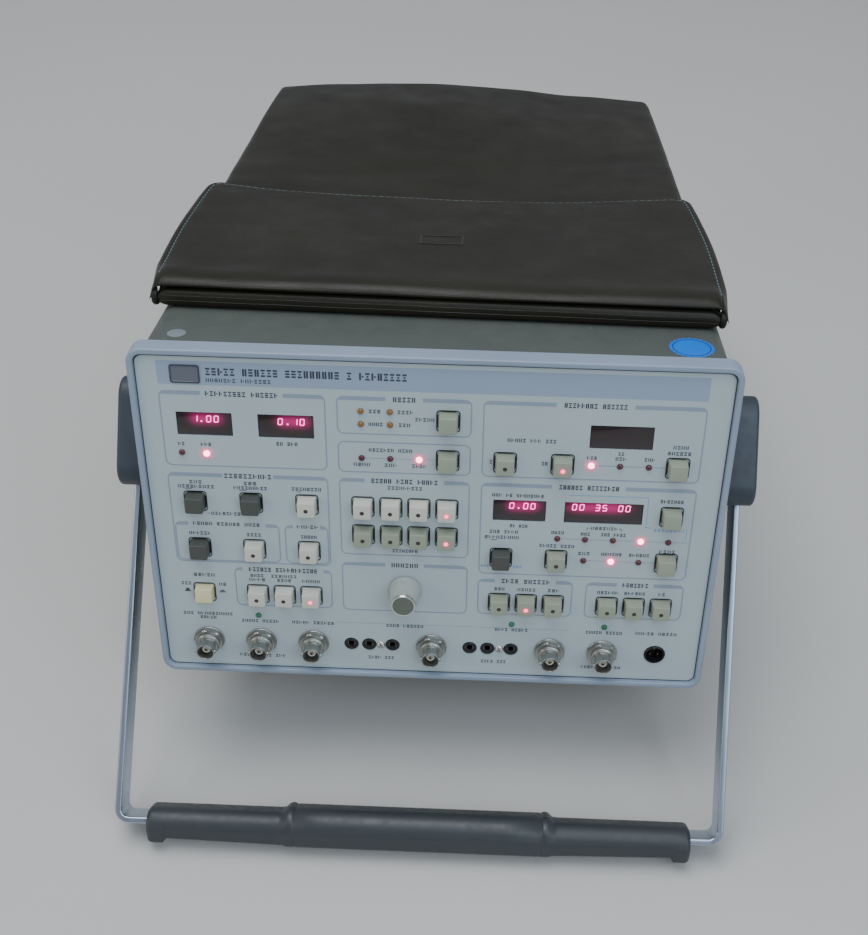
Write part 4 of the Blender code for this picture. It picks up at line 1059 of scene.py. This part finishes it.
def rear_details():
    """A plate in the recess of the back, its screws, and the lining and pins of the mains inlet."""
    face, rim, screw_r = REAR_END - 6.0, 7.3, 3.4
    height, middle = COVER_TOP - COVER_BOTTOM, (COVER_TOP + COVER_BOTTOM) / 2
    low, high = INLET_LOW, INLET_HIGH
    centre = ((low[0] + high[0]) / 2, (low[1] + high[1]) / 2)
    outer = rounded_rectangle(2 * (REAR_HALF - rim), height - 2 * rim, 4.0, 4, (0, middle))
    hole = rounded_rectangle(high[0] - low[0] + 0.4, high[1] - low[1] + 0.4, 0.6, 4, centre)
    front, back = face - 0.1, face + 0.8
    plate = loft([at_y(outer, front), at_y(outer, back), at_y(hole, back), at_y(hole, front)], ring=True)
    finish_piece("rear_plate", plate, "chassis", "panel")

    wall, deep, mouth = 0.7, face - 15.9, face + 1.4
    rings = []
    for width, y in ((0.0, deep), (0.0, mouth), (wall, mouth), (wall, deep)):
        rings.append(at_y(rounded_rectangle(27.4 - 2 * width, 19.9 - 2 * width, 1.5, 4, centre), y))
    liner = loft(rings, ring=True)
    add_plate(liner, rounded_rectangle(27.0, 19.5, 1.4, 4, centre), deep, face - 15.2)
    finish_piece("inlet_liner", liner, "chassis", "black")

    pins = bmesh.new()
    for x, z in ((-7.0, -2.0), (7.0, -2.0), (0.0, 2.5)):
        spot = (centre[0] + x, centre[1] + z)
        rows = [(2.0, 4.0, face - 15.4), (2.0, 4.0, face - 7.0), (1.2, 3.0, face - 6.2)]
        add_loft(pins, [at_y(rounded_rectangle(w, h, 0.4, 3, spot), y) for w, h, y in rows])
    finish_piece("inlet_pins", pins, "chassis", "nickel")

    head = [(0.7, screw_r), (1.4, screw_r), (2.4, screw_r * 0.8), (2.7, screw_r * 0.4)]
    for i, (x, z) in enumerate(((-126, 20), (126, 20), (-126, 176), (126, 176))):
        for turn in (10 + 25 * i, 100 + 25 * i):
            cross = bmesh.new()
            add_cross(cross, x, z, (turn,), screw_r * 0.5, 0.3, face + 2.5, face + 2.74)
            finish_piece(f"rear_screw_recess_{i}_{turn % 2}", cross, "chassis", "black")
        tool = turned([(face + y, r) for y, r in head], 28, (x, z))
        finish_piece(f"rear_screw_{i}", tool, "chassis", "bright", angle=60)


def apply_boolean(piece, other):
    """Cuts another piece away from a piece, and removes it."""
    added = piece.modifiers.new("cut", "BOOLEAN")
    added.operation = "DIFFERENCE"
    added.solver = "EXACT"
    added.object = other
    graph = bpy.context.evaluated_depsgraph_get()
    made = bpy.data.meshes.new_from_object(piece.evaluated_get(graph))
    piece.modifiers.clear()
    old = piece.data
    piece.data = made
    bpy.data.meshes.remove(old)
    bpy.data.objects.remove(other)


def leaned(x, z):
    """The legs spread below the hubs, and the whole U leans a little to one side, as the real one has bent."""
    share = max(0.0, (LEG_START - z) / (LEG_START - STRAP_LENGTH))
    return x + share * (LEG_LEAN + LEG_SPLAY * x / STRAP_OUT)


def strap():
    """A flat bar with rounded edges, swept round the U."""
    steps = 12
    middle_out = STRAP_OUT - STRAP_T / 2
    bottom = STRAP_LENGTH - STRAP_T / 2
    bend = STRAP_BEND - STRAP_T / 2
    path = [((middle_out, z), (1, 0)) for z in (STRAP_TOP, LEG_START + 2, LEG_START - 2)]
    for step in range(steps + 1):
        a = math.radians(-90 * step / steps)
        centre = (middle_out - bend, bottom + bend)
        path.append(((centre[0] + bend * math.cos(a), centre[1] + bend * math.sin(a)), (math.cos(a), math.sin(a))))
    path += [((-x, z), (-nx, nz)) for (x, z), (nx, nz) in reversed(path)]
    section = rounded_rectangle(STRAP_T, STRAP_W, 0.9, 4)
    loops = [[(leaned(x + a * nx, z), b, z + a * nz) for a, b in section] for (x, z), (nx, nz) in path]
    piece = finish_piece("bail_strap", loft(loops), "handle", "strap", turn=BAIL, angle=40)
    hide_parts("handle_strap")


def grip_section(x, top, bottom, depth, top_r=8.0):
    """A cross-section of the grip: a round upper part, and below it two flats that lean in to a narrower base."""
    half, waist, base = depth / 2, bottom + 0.42 * (top - bottom), depth / 2 - 3.4
    points = [(base - 2.4, bottom), (base - 1.2, bottom + 0.2), (base - 0.3, bottom + 0.9), (base, bottom + 1.6)]
    points += [(half - 0.35, waist - 1.0), (half - 0.05, waist - 0.3), (half, waist + 0.5)]
    steps = 10
    for step in range(steps + 1):
        angle = math.radians(90 * step / steps)
        points.append((half - top_r + top_r * math.cos(angle), top - top_r + top_r * math.sin(angle)))
    return at_x(points + [(-a, b) for a, b in reversed(points)], x + LEG_LEAN)


def grip():
    """Two moulded ends with a foot each, and a thicker middle sleeve with a bead and a seam at each end."""
    end_top, end_bottom, end_depth, inner_bottom = -206.0, -222.6, 23.0, -224.0
    mid_top, mid_bottom, mid_depth = -203.7, -224.5, 25.0
    foot_bottom, foot_length = -225.2, 9.0
    half = []
    for step in range(6):
        a = math.radians(90 * step / 5)
        inset = 2.8 * (1 - math.sin(a))
        x = GRIP_HALF - 2.8 * (1 - math.cos(a))
        low, depth = foot_bottom + inset * 0.8, end_depth - 1.6 * inset
        half.append(grip_section(x, end_top - inset, low, depth, 8.0 - inset * 0.6))
    inner, sleeve = GRIP_HALF - foot_length, GRIP_CENTRE_HALF
    foot_end = ((0.4, foot_bottom), (0.0, foot_bottom + 0.4), (-0.6, end_bottom - 0.3), (-1.0, end_bottom))
    half += [grip_section(inner + x, end_top, bottom, end_depth) for x, bottom in foot_end]
    half += [
        grip_section(sleeve + 9.0, end_top, inner_bottom + 0.1, end_depth + 0.4),
        grip_section(sleeve + 6.6, end_top + 0.3, inner_bottom, end_depth + 0.6),
        grip_section(sleeve + 4.4, mid_top + 0.1, mid_bottom, mid_depth - 0.1, 8.6),
        grip_section(sleeve + 2.8, mid_top + 0.6, mid_bottom, mid_depth + 0.2, 8.8),
        grip_section(sleeve + 1.4, mid_top + 0.4, mid_bottom, mid_depth + 0.1, 9.0),
        grip_section(sleeve + 0.6, mid_top + 0.1, mid_bottom, mid_depth, 9.0),
        grip_section(sleeve + 0.3, mid_top - 0.25, mid_bottom + 0.2, mid_depth - 0.5, 9.0),
        grip_section(sleeve, mid_top - 0.25, mid_bottom + 0.2, mid_depth - 0.5, 9.0),
        grip_section(sleeve - 0.4, mid_top, mid_bottom, mid_depth, 9.0),
        grip_section(sleeve - 20, mid_top, mid_bottom, mid_depth, 9.0),
    ]
    mirrored = [[(2 * LEG_LEAN - x, y, z) for x, y, z in loop] for loop in reversed(half)]
    piece = finish_piece("bail_grip", loft(half + mirrored), "handle", "grip", turn=BAIL, angle=50)
    reach = GRIP_HALF + 10
    outline = rounded_rectangle(STRAP_W + 2 * GAP, STRAP_T + 2 * GAP, 1.2, 3, (0, STRAP_LENGTH - STRAP_T / 2))
    tunnel = loft([at_x(outline, -reach), at_x(outline, reach)])
    tunnel = finish_piece("grip_tunnel", tunnel, "handle", "grip", turn=BAIL)
    apply_boolean(piece, tunnel)
    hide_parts("handle_grip")


# ---------------------------------------------------------------- pouch


def read(value, table):
    """A smooth curve through a table of (place, size) pairs."""
    places = [place for place, _ in table]
    sizes = [size for _, size in table]
    value = min(max(value, places[0]), places[-1])
    i = next(k for k in range(len(places) - 1) if value <= places[k + 1])
    slopes = []
    for k in (i, i + 1):
        low, high = max(k - 1, 0), min(k + 1, len(places) - 1)
        slopes.append((sizes[high] - sizes[low]) / (places[high] - places[low]))
    step = places[i + 1] - places[i]
    t = (value - places[i]) / step
    first = sizes[i] * (1 + 2 * t) * (1 - t) ** 2 + sizes[i + 1] * t * t * (3 - 2 * t)
    return first + step * t * (1 - t) * (slopes[0] * (1 - t) - slopes[1] * t)


POUCH_HALF = ((47, 142.8), (60, 143.2), (215, 142.5), (425, 140.5))
FRONT_RISE = 10.5
SAG_RISE = ((-144, 12.3), (-94, 8.3), (-8, 5.9), (65, 6.4), (137, 10.2))  # by X, under the flap's free edge
REAR_RISE = (  # by X, at the back
    (-138, 16.9), (-87, 19.8), (-49, 22.4), (-19, 22.5), (11, 21.0), (41, 19.6), (72, 16.6), (102, 14.8),
    (136, 12.8),
)
SAG_SHARE = ((50, 0.0), (130, 0.35), (209, 1.0))  # by Y
REAR_SHARE = ((209, 0.0), (300, 0.5), (370, 0.9), (425, 1.0))
CREVICE = 55.0  # the fold between the front roll and the flap's root
WELT_PATH = (  # along the bag's side and up round the end of its roll, in Y and height over the cover
    (96, 1.6), (80, 1.5), (62, 1.4), (52, 1.4), (48.6, 1.8),
    (46.9, 3.4), (46.4, 5.2), (47.0, 7.4), (48.6, 9.2), (51, 10.2),
)


def skew(x, y):
    """The pouch sits a little askew: its front edge comes further forward at the right."""
    share = min(1.0, max(0.0, (y - 48) / 155))
    return y - 0.026 * x * (1 - share * share * (3 - 2 * share))


def soft(x, y, seed, size, height):
    return height * noise.noise(Vector((x / size, y / size, seed)))


def pouch_rise(x, y):
    """Height of the bag's upper skin over the cover: sagging behind the flap, humped at the back."""
    front = FRONT_RISE + (read(x, SAG_RISE) - FRONT_RISE) * read(y, SAG_SHARE)
    return front + (read(x, REAR_RISE) + 2.4 - front) * read(y, REAR_SHARE)


def bag_top(x, y):
    """The bag's upper skin with its creases: a round roll in front, a fold behind it, then the filled bag."""
    rise = pouch_rise(x, y)
    behind = min(1.0, max(0.0, (y - 205) / 30))
    rise += behind * (soft(x, y, 3.1, 70, 1.5) + soft(x + 0.5 * y, y, 7.7, 26, 0.45))
    crease = abs(y - 0.22 * x - 262)
    rise -= behind * 0.7 * math.exp(-((crease / 9) ** 2)) * min(1.0, abs(x - 20) / 60)
    fold = 2.4 * math.exp(-(((y - CREVICE) / 1.8) ** 2))
    return rise - fold - (0.6 if y < CREVICE else 0.0)


def bag_section(y, half, low, high):
    """A loop round the bag at one Y; low and high squeeze its skin at the bag's two ends."""
    side, turns = 6.0, 6
    across = [half - side + side * math.sin(math.radians(90 * k / turns)) for k in range(turns, -1, -1)]
    inner = half - side
    across += [inner - 2 * inner * k / 54 for k in range(1, 54)]
    across += [-x for x in reversed(across[: turns + 1])]
    upper, under = [], []
    for x in across:
        t = max(0.0, (abs(x) - inner) / side)
        bend = math.sqrt(max(0.0, 1 - t * t))
        rise = bag_top(x, y)
        middle = 0.45 * rise
        top = middle + (rise - middle) * bend * high
        base = 0.25 + middle * (1 - bend * low)
        seam = -0.5 * math.exp(-((t - 0.93) / 0.12) ** 2)
        aside = -1.2 * min(1.0, max(0.0, (150 - y) / 90))
        upper.append((x + aside + (math.copysign(seam, x) if t > 0 else 0.0), skew(x, y), POUCH_Z + top))
        under.append((x + aside, skew(x, y), POUCH_Z + base))
    return upper + list(reversed(under[1:-1]))


def bag():
    """The bag: a filled vinyl shell with a roll along its front and an open mouth under the flap."""
    front, end, roll, corner = 46.8, POUCH_END + 1.5, 5.0, 8.0
    places = [front + roll * (1 - math.sin(math.radians(90 * k / 7))) for k in range(7, -1, -1)]
    places = sorted(places)[:-1]
    places += [front + roll + 0.8 * k for k in range(0, 12)]
    places += [63 + 6.2 * k for k in range(0, 58)]
    places = [y for y in places if y < end - 8.5]
    places += [end - 8 + 8 * math.sin(math.radians(90 * k / 7)) for k in range(8)]
    loops = []
    for y in places:
        half = read(y, POUCH_HALF)
        t_front = min(0.985, max(0.0, (front + roll - y) / roll))
        t_end = min(0.985, max(0.0, (y - end + 8) / 8))
        t_corner = min(1.0, max(0.0, (y - end + corner) / corner))
        half -= corner * 0.7 * (1 - math.sqrt(1 - min(0.96, t_corner) ** 2))
        squeeze = (1 - t_front**3) ** (1 / 3) * math.sqrt(1 - t_end**2)
        loops.append(bag_section(y, half, squeeze, squeeze))
    piece = finish_piece("pouch_bag", loft(loops), "chassis", "vinyl", angle=60)
    length = MOUTH_Y[1] - MOUTH_Y[0]
    outline = rounded_rectangle(2 * MOUTH_HALF, length, 9, 5, (0, sum(MOUTH_Y) / 2))
    hole = loft([at_z(outline, POUCH_Z + MOUTH_FLOOR), at_z(outline, POUCH_Z + 30)])
    hole = finish_piece("mouth_shape", hole, "chassis", "vinyl")
    apply_boolean(piece, hole)
    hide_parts("pouch_body")

    welt = bmesh.new()
    for side in (-1, 1):
        x, loops = side * 143.4 - 1.2, []
        for i, (y, z) in enumerate(WELT_PATH):
            before, after = WELT_PATH[max(i - 1, 0)], WELT_PATH[min(i + 1, len(WELT_PATH) - 1)]
            normal = Vector((after[1] - before[1], before[0] - after[0])).normalized()
            taper = 0.4 if i in (0, len(WELT_PATH) - 1) else 1.0
            turns = [math.radians(36 * k) for k in range(10)]
            ring = [(math.cos(a) * 1.7 * taper, math.sin(a) * 1.1 * taper) for a in turns]
            loops.append([(x + p, skew(x, y) + q * normal.x, POUCH_Z + z + q * normal.y) for p, q in ring])
        add_loft(welt, loops)
    finish_piece("pouch_roll_welts", welt, "chassis", "binding", angle=60)

    seam, turns = bmesh.new(), [math.radians(60 * j) for j in range(6)]
    for rise, reach in ((6.6, 47.05), (4.0, 46.95)):
        loops = []
        for k in range(61):
            x = -141.5 + 281 * k / 60
            wave = soft(x, rise, 5.5, 30, 0.25)
            ring = [(0.35 * math.cos(a), 0.3 * math.sin(a)) for a in turns]
            loops.append([(x, skew(x, reach) + p, POUCH_Z + rise + wave + q) for p, q in ring])
        add_loft(seam, loops)
    finish_piece("pouch_roll_seam", seam, "chassis", "binding", angle=60)


def flap_half(y):
    """Half the flap's width: its sides bow outwards a little."""
    return read(y, ((47, 146.2), (80, 148.4), (130, 149.8), (180, 148.4), (211, 146.4)))


def flap_middle(y):
    return -1.2 - 0.6 * min(1.0, max(0.0, (y - 60) / 150))


def flap_edge(x, y):
    """How far a point of the flap is inside its sides and its free end, whose corners are rounded."""
    to_side, to_end = flap_half(y) - abs(x - flap_middle(y)), FLAP_END - y
    if to_side < FLAP_R and to_end < FLAP_R:
        return FLAP_R - math.hypot(FLAP_R - to_side, FLAP_R - to_end)
    return min(to_side, to_end)


def flap_skins(x, y):
    """Heights of the flap's lower and upper skins."""
    inside = max(0.0, flap_edge(x, y))
    droop = 1.6 * max(0.0, 1 - inside / 7) ** 2
    front = max(0.0, 1 - max(0.0, y - 50) / 26)
    droop += 6.5 * max(0.0, 1 - inside / 4.5) ** 1.5 * front * front * (3 - 2 * front)
    under = pouch_rise(x, max(y, CREVICE + 5)) + 0.4 + soft(x, y, 1.9, 60, 0.5) - droop
    bulge = 3.0 * math.exp(-(((y - 57) / 13) ** 2)) * min(1.0, inside / 9 + 0.15)
    thick = 2.7 + bulge + soft(x, y, 4.4, 34, 0.5) * min(1.0, inside / 10)
    thick += soft(x, y, 8.8, 90, 0.8) * min(1.0, inside / 20)
    groove = 0.75 * math.exp(-(((inside - 4.3) / 0.55) ** 2))
    border = 0.35 * math.exp(-(((inside - 2.2) / 1.6) ** 2))
    full = max(0.5, thick - groove + border)
    t = max(0.0, 1 - inside / 1.5)
    roundness = math.sqrt(max(0.0, 1 - min(0.97, t) ** 2))
    lift = 0.5 * full * (1 - roundness)
    low, high = under + lift, under + lift + full * roundness
    nose = min(0.985, max(0.0, (NOSE_Y + NOSE_R - y) / NOSE_R))
    if nose > 0:
        middle = 0.6 * low + 0.4 * high
        low = middle + (low - middle) * (1 - nose**3) ** (1 / 3)
        high = middle + (high - middle) * math.sqrt(1 - nose**2)
    return low, high


NOSE_Y, NOSE_R = 46.6, 5.0
EDGE_STEPS = (0.0, 0.25, 0.7, 1.3, 2.0, 2.7, 3.3, 3.7, 4.0, 4.3, 4.6, 4.9, 5.5, 6.6, 8.5, 11.5, 16.0)


def flap():
    """The flap: a padded vinyl sheet, bound along its sides and free end, that rolls over the bag's front."""
    places = [NOSE_Y + NOSE_R * (1 - math.sin(math.radians(90 * k / 7))) for k in range(7, -1, -1)]
    places += [NOSE_Y + NOSE_R + 3.5 * k for k in range(1, 40) if NOSE_Y + NOSE_R + 3.5 * k < FLAP_END - 18]
    places += [FLAP_END - step for step in reversed(EDGE_STEPS)]
    inner = 126.0
    loops = []
    for y in places:
        from_end = FLAP_END - y
        cut_back = FLAP_R - math.sqrt(max(0.0, FLAP_R**2 - max(0.0, FLAP_R - from_end) ** 2))
        half, middle = flap_half(y) - cut_back, flap_middle(y)
        across = [half - step for step in EDGE_STEPS if half - step > inner]
        across += [inner - 4] * (len(EDGE_STEPS) - len(across))
        across = sorted(across, reverse=True)
        for k in range(1, len(across)):  # keeps columns apart where the corner squeezes them
            across[k] = min(across[k], across[k - 1] - 0.05)
        edge = across[-1]
        across += [edge - 2 * edge * k / 44 for k in range(1, 44)]
        across += [-x for x in reversed(across[: len(EDGE_STEPS)])]
        across = [x + middle for x in across]
        heights = [flap_skins(x, y) for x in across]
        upper = [(x, skew(x, y), POUCH_Z + high) for x, (low, high) in zip(across, heights)]
        lower = [(x, skew(x, y), POUCH_Z + low) for x, (low, high) in zip(across, heights)]
        loops.append(upper + list(reversed(lower)))
    return finish_piece("pouch_flap_shell", loft(loops), None, "vinyl", angle=60)


def flap_spot(x, y, lift=0.0):
    return Vector((x, skew(x, y), POUCH_Z + flap_skins(x, y)[1] + lift))


def add_bead(tool, start, end, width, height):
    """A small lengthwise bead, such as one stitch."""
    up = Vector((0, 0, 1))
    along = (end - start).normalized()
    side = along.cross(up).normalized()
    loops = []
    for t, size in ((0.0, 0.25), (0.15, 0.8), (0.5, 1.0), (0.85, 0.8), (1.0, 0.25)):
        centre = start.lerp(end, t)
        ring = []
        for k in range(6):
            a = math.radians(60 * k)
            aside, rise = width / 2 * size * math.cos(a), height / 2 * size * math.sin(a)
            ring.append(tuple(centre + side * aside + up * rise))
        loops.append(ring)
    add_loft(tool, loops)


def stitch_line():
    """Points along the flap's seam, a little inside its bound edge."""
    inside = 4.3
    right, left = [], []
    y = 56.0
    while y < FLAP_END - FLAP_R:
        reach, middle = flap_half(y) - inside, flap_middle(y)
        right.append((middle + reach, y))
        left.append((middle - reach, y))
        y += 0.5
    half, middle = flap_half(FLAP_END - FLAP_R), flap_middle(FLAP_END - FLAP_R)
    reach = FLAP_R - inside
    turn = [(math.cos(math.radians(3 * k)) * reach, math.sin(math.radians(3 * k)) * reach) for k in range(31)]
    centre = (half - FLAP_R, FLAP_END - FLAP_R)
    points = right + [(middle + centre[0] + a, centre[1] + b) for a, b in turn]
    x = centre[0]
    while x > -centre[0]:
        points.append((middle + x, FLAP_END - inside))
        x -= 0.5
    points += [(middle - centre[0] - a, centre[1] + b) for a, b in reversed(turn)]
    return points + list(reversed(left))


def flap_trim():
    """Stitches along the flap's edge, and a blank embossed panel."""
    line = stitch_line()
    tool, walked, start = bmesh.new(), 0.0, None
    length, gap = 3.2, 1.0
    for before, after in zip(line, line[1:]):
        walked += math.dist(before, after)
        if start is None and walked >= gap:
            start, walked = after, 0.0
        elif start is not None and walked >= length:
            add_bead(tool, flap_spot(*start, 0.3), flap_spot(*after, 0.3), 0.9, 0.7)
            start, walked = None, 0.0
    # Stitch colour: partly thread, partly painted highlight of the seam catching light.
    stitches = finish_piece("flap_stitches", tool, None, "thread", angle=60)

    plate = bmesh.new()
    middle, width, height = (-2.4, 127.0), 24.0, 15.0
    outer = rounded_rectangle(width, height, 1.2, 4, middle)
    inner = rounded_rectangle(width - 2.0, height - 2.0, 0.7, 4, middle)

    def skin(outline, lift):
        return [tuple(flap_spot(a, b, lift)) for a, b in outline]

    add_loft(plate, [skin(outer, -0.1), skin(outer, 0.25), skin(inner, 0.25), skin(inner, -0.1)], ring=True)
    emboss = finish_piece("flap_embossed_frame", plate, None, "emboss", angle=60)
    return [stitches, emboss]


def pouch():
    bag()
    pieces = [flap()] + flap_trim()
    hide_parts("pouch_flap")
    for piece in pieces:
        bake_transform(piece)


def cover_marks():
    """A small plain disc and a round inspection seal on the cover's front corners."""
    disc = ((-0.1, 4.6), (0.12, 4.6), (0.2, 4.3))
    disc = turned([(COVER_TOP + rise, r) for rise, r in disc], 32, (-127.3, 20.7), put=at_z)
    finish_piece("cover_disc", disc, "chassis", "sticker_grey")
    teeth, middle = 24, (124.5, 23.0)
    outline = []
    for k in range(8 * teeth):
        a = 2 * math.pi * k / (8 * teeth)
        r = 10.9 + 0.35 * math.cos(teeth * a)
        outline.append((middle[0] + r * math.cos(a), middle[1] + r * math.sin(a)))
    seal = loft([at_z(outline, COVER_TOP - 0.1), at_z(outline, COVER_TOP + 0.15)])
    finish_piece("cover_seal", seal, "chassis", "sticker_blue")
    low, high = COVER_TOP + 0.1, COVER_TOP + 0.19
    ring = turned([(low, 9.6), (high, 9.6), (high, 8.9), (low, 8.9)], 64, middle, put=at_z, ring=True)
    finish_piece("cover_seal_ring", ring, "chassis", "sticker_edge")


# ---------------------------------------------------------------- camera, light and floor


def camera():
    """The main viewpoint, given in the case's own frame."""
    place = Vector((25.53, -545.42, 455.52))
    right = Vector((0.99926575, 0.03220896, 0.02074945))
    forward = Vector((-0.01683407, 0.85558095, -0.51739526))
    up = right.cross(forward)
    data = bpy.data.cameras.new("camera")
    made = bpy.data.objects.new("camera", data)
    bpy.context.scene.collection.objects.link(made)
    turn = Matrix((right, up, -forward)).transposed().to_4x4()
    rigid = CASE @ Matrix.Scale(1 / MM, 4)
    rotation = (rigid.to_3x3() @ turn.to_3x3()).to_4x4()
    made.matrix_world = Matrix.Translation(CASE @ place) @ rotation
    data.sensor_width = 36
    data.lens = 48.94
    data.shift_x, data.shift_y = -0.0303, 0.0200
    data.clip_start, data.clip_end = 0.02, 50
    bpy.context.scene.camera = made


def area_light(name, place, target, size, power, colour):
    data = bpy.data.lights.new(name, "AREA")
    data.shape = "RECTANGLE"
    data.size, data.size_y = size
    data.energy = power
    data.color = colour
    made = bpy.data.objects.new(name, data)
    bpy.context.scene.collection.objects.link(made)
    made.location = place
    made.rotation_euler = (Vector(target) - Vector(place)).to_track_quat("-Z", "Y").to_euler()


def studio():
    floor_mesh = bmesh.new()
    reach, edge = 6.0, 4.0
    corners = ((-reach, -edge, 0), (reach, -edge, 0), (reach, reach, 0), (-reach, reach, 0))
    floor_mesh.faces.new([floor_mesh.verts.new(p) for p in corners])
    mesh = bpy.data.meshes.new("floor")
    floor_mesh.to_mesh(mesh)
    floor_mesh.free()
    floor = bpy.data.objects.new("floor", mesh)
    bpy.context.scene.collection.objects.link(floor)
    n = Nodes("floor_paper")
    n.set(Metallic=0.0, Roughness=0.85)
    n.link(n.mix(n.noise(3.0, 2.0), linear(196, 194, 190), linear(202, 200, 196)), n.shader.inputs["Base Color"])
    mesh.materials.append(n.material)

    world = bpy.data.worlds.new("studio")
    world.use_nodes = True
    background = world.node_tree.nodes["Background"]
    background.inputs["Color"].default_value = (0.80, 0.86, 0.94, 1)
    background.inputs["Strength"].default_value = 0.35
    bpy.context.scene.world = world
    area_light("overhead", (-0.3, -0.1, 2.2), (0, 0, 0), (1.8, 1.2), 34, (0.93, 0.96, 1.0))
    area_light("front", (1.5, -1.9, 1.4), (0, -0.1, 0.15), (1.4, 1.0), 13, (0.76, 0.89, 1.0))
    area_light("window", (0.7, -1.5, 2.0), (0, -0.1, 0.2), (1.3, 0.7), 12, (0.70, 0.85, 1.0))
    area_light("side", (-2.0, -1.3, 1.1), (0, 0, 0.1), (1.0, 1.0), 8, (1.0, 0.97, 0.92))


def main():
    camera()
    studio()
    make_materials()
    bezel()
    cover()
    finish_cad_nodes()
    panel_print()
    displays()
    lamps()
    keys()
    knob()
    for number, column in enumerate(CONNECTOR_COLUMNS, 1):
        coaxial_connector(number, column)
    for name, start in SOCKET_STARTS.items():
        balanced_socket(name, start)
    probe_jack()
    hubs()
    strap()
    grip()
    pouch()
    cover_marks()
    rear_details()


main()
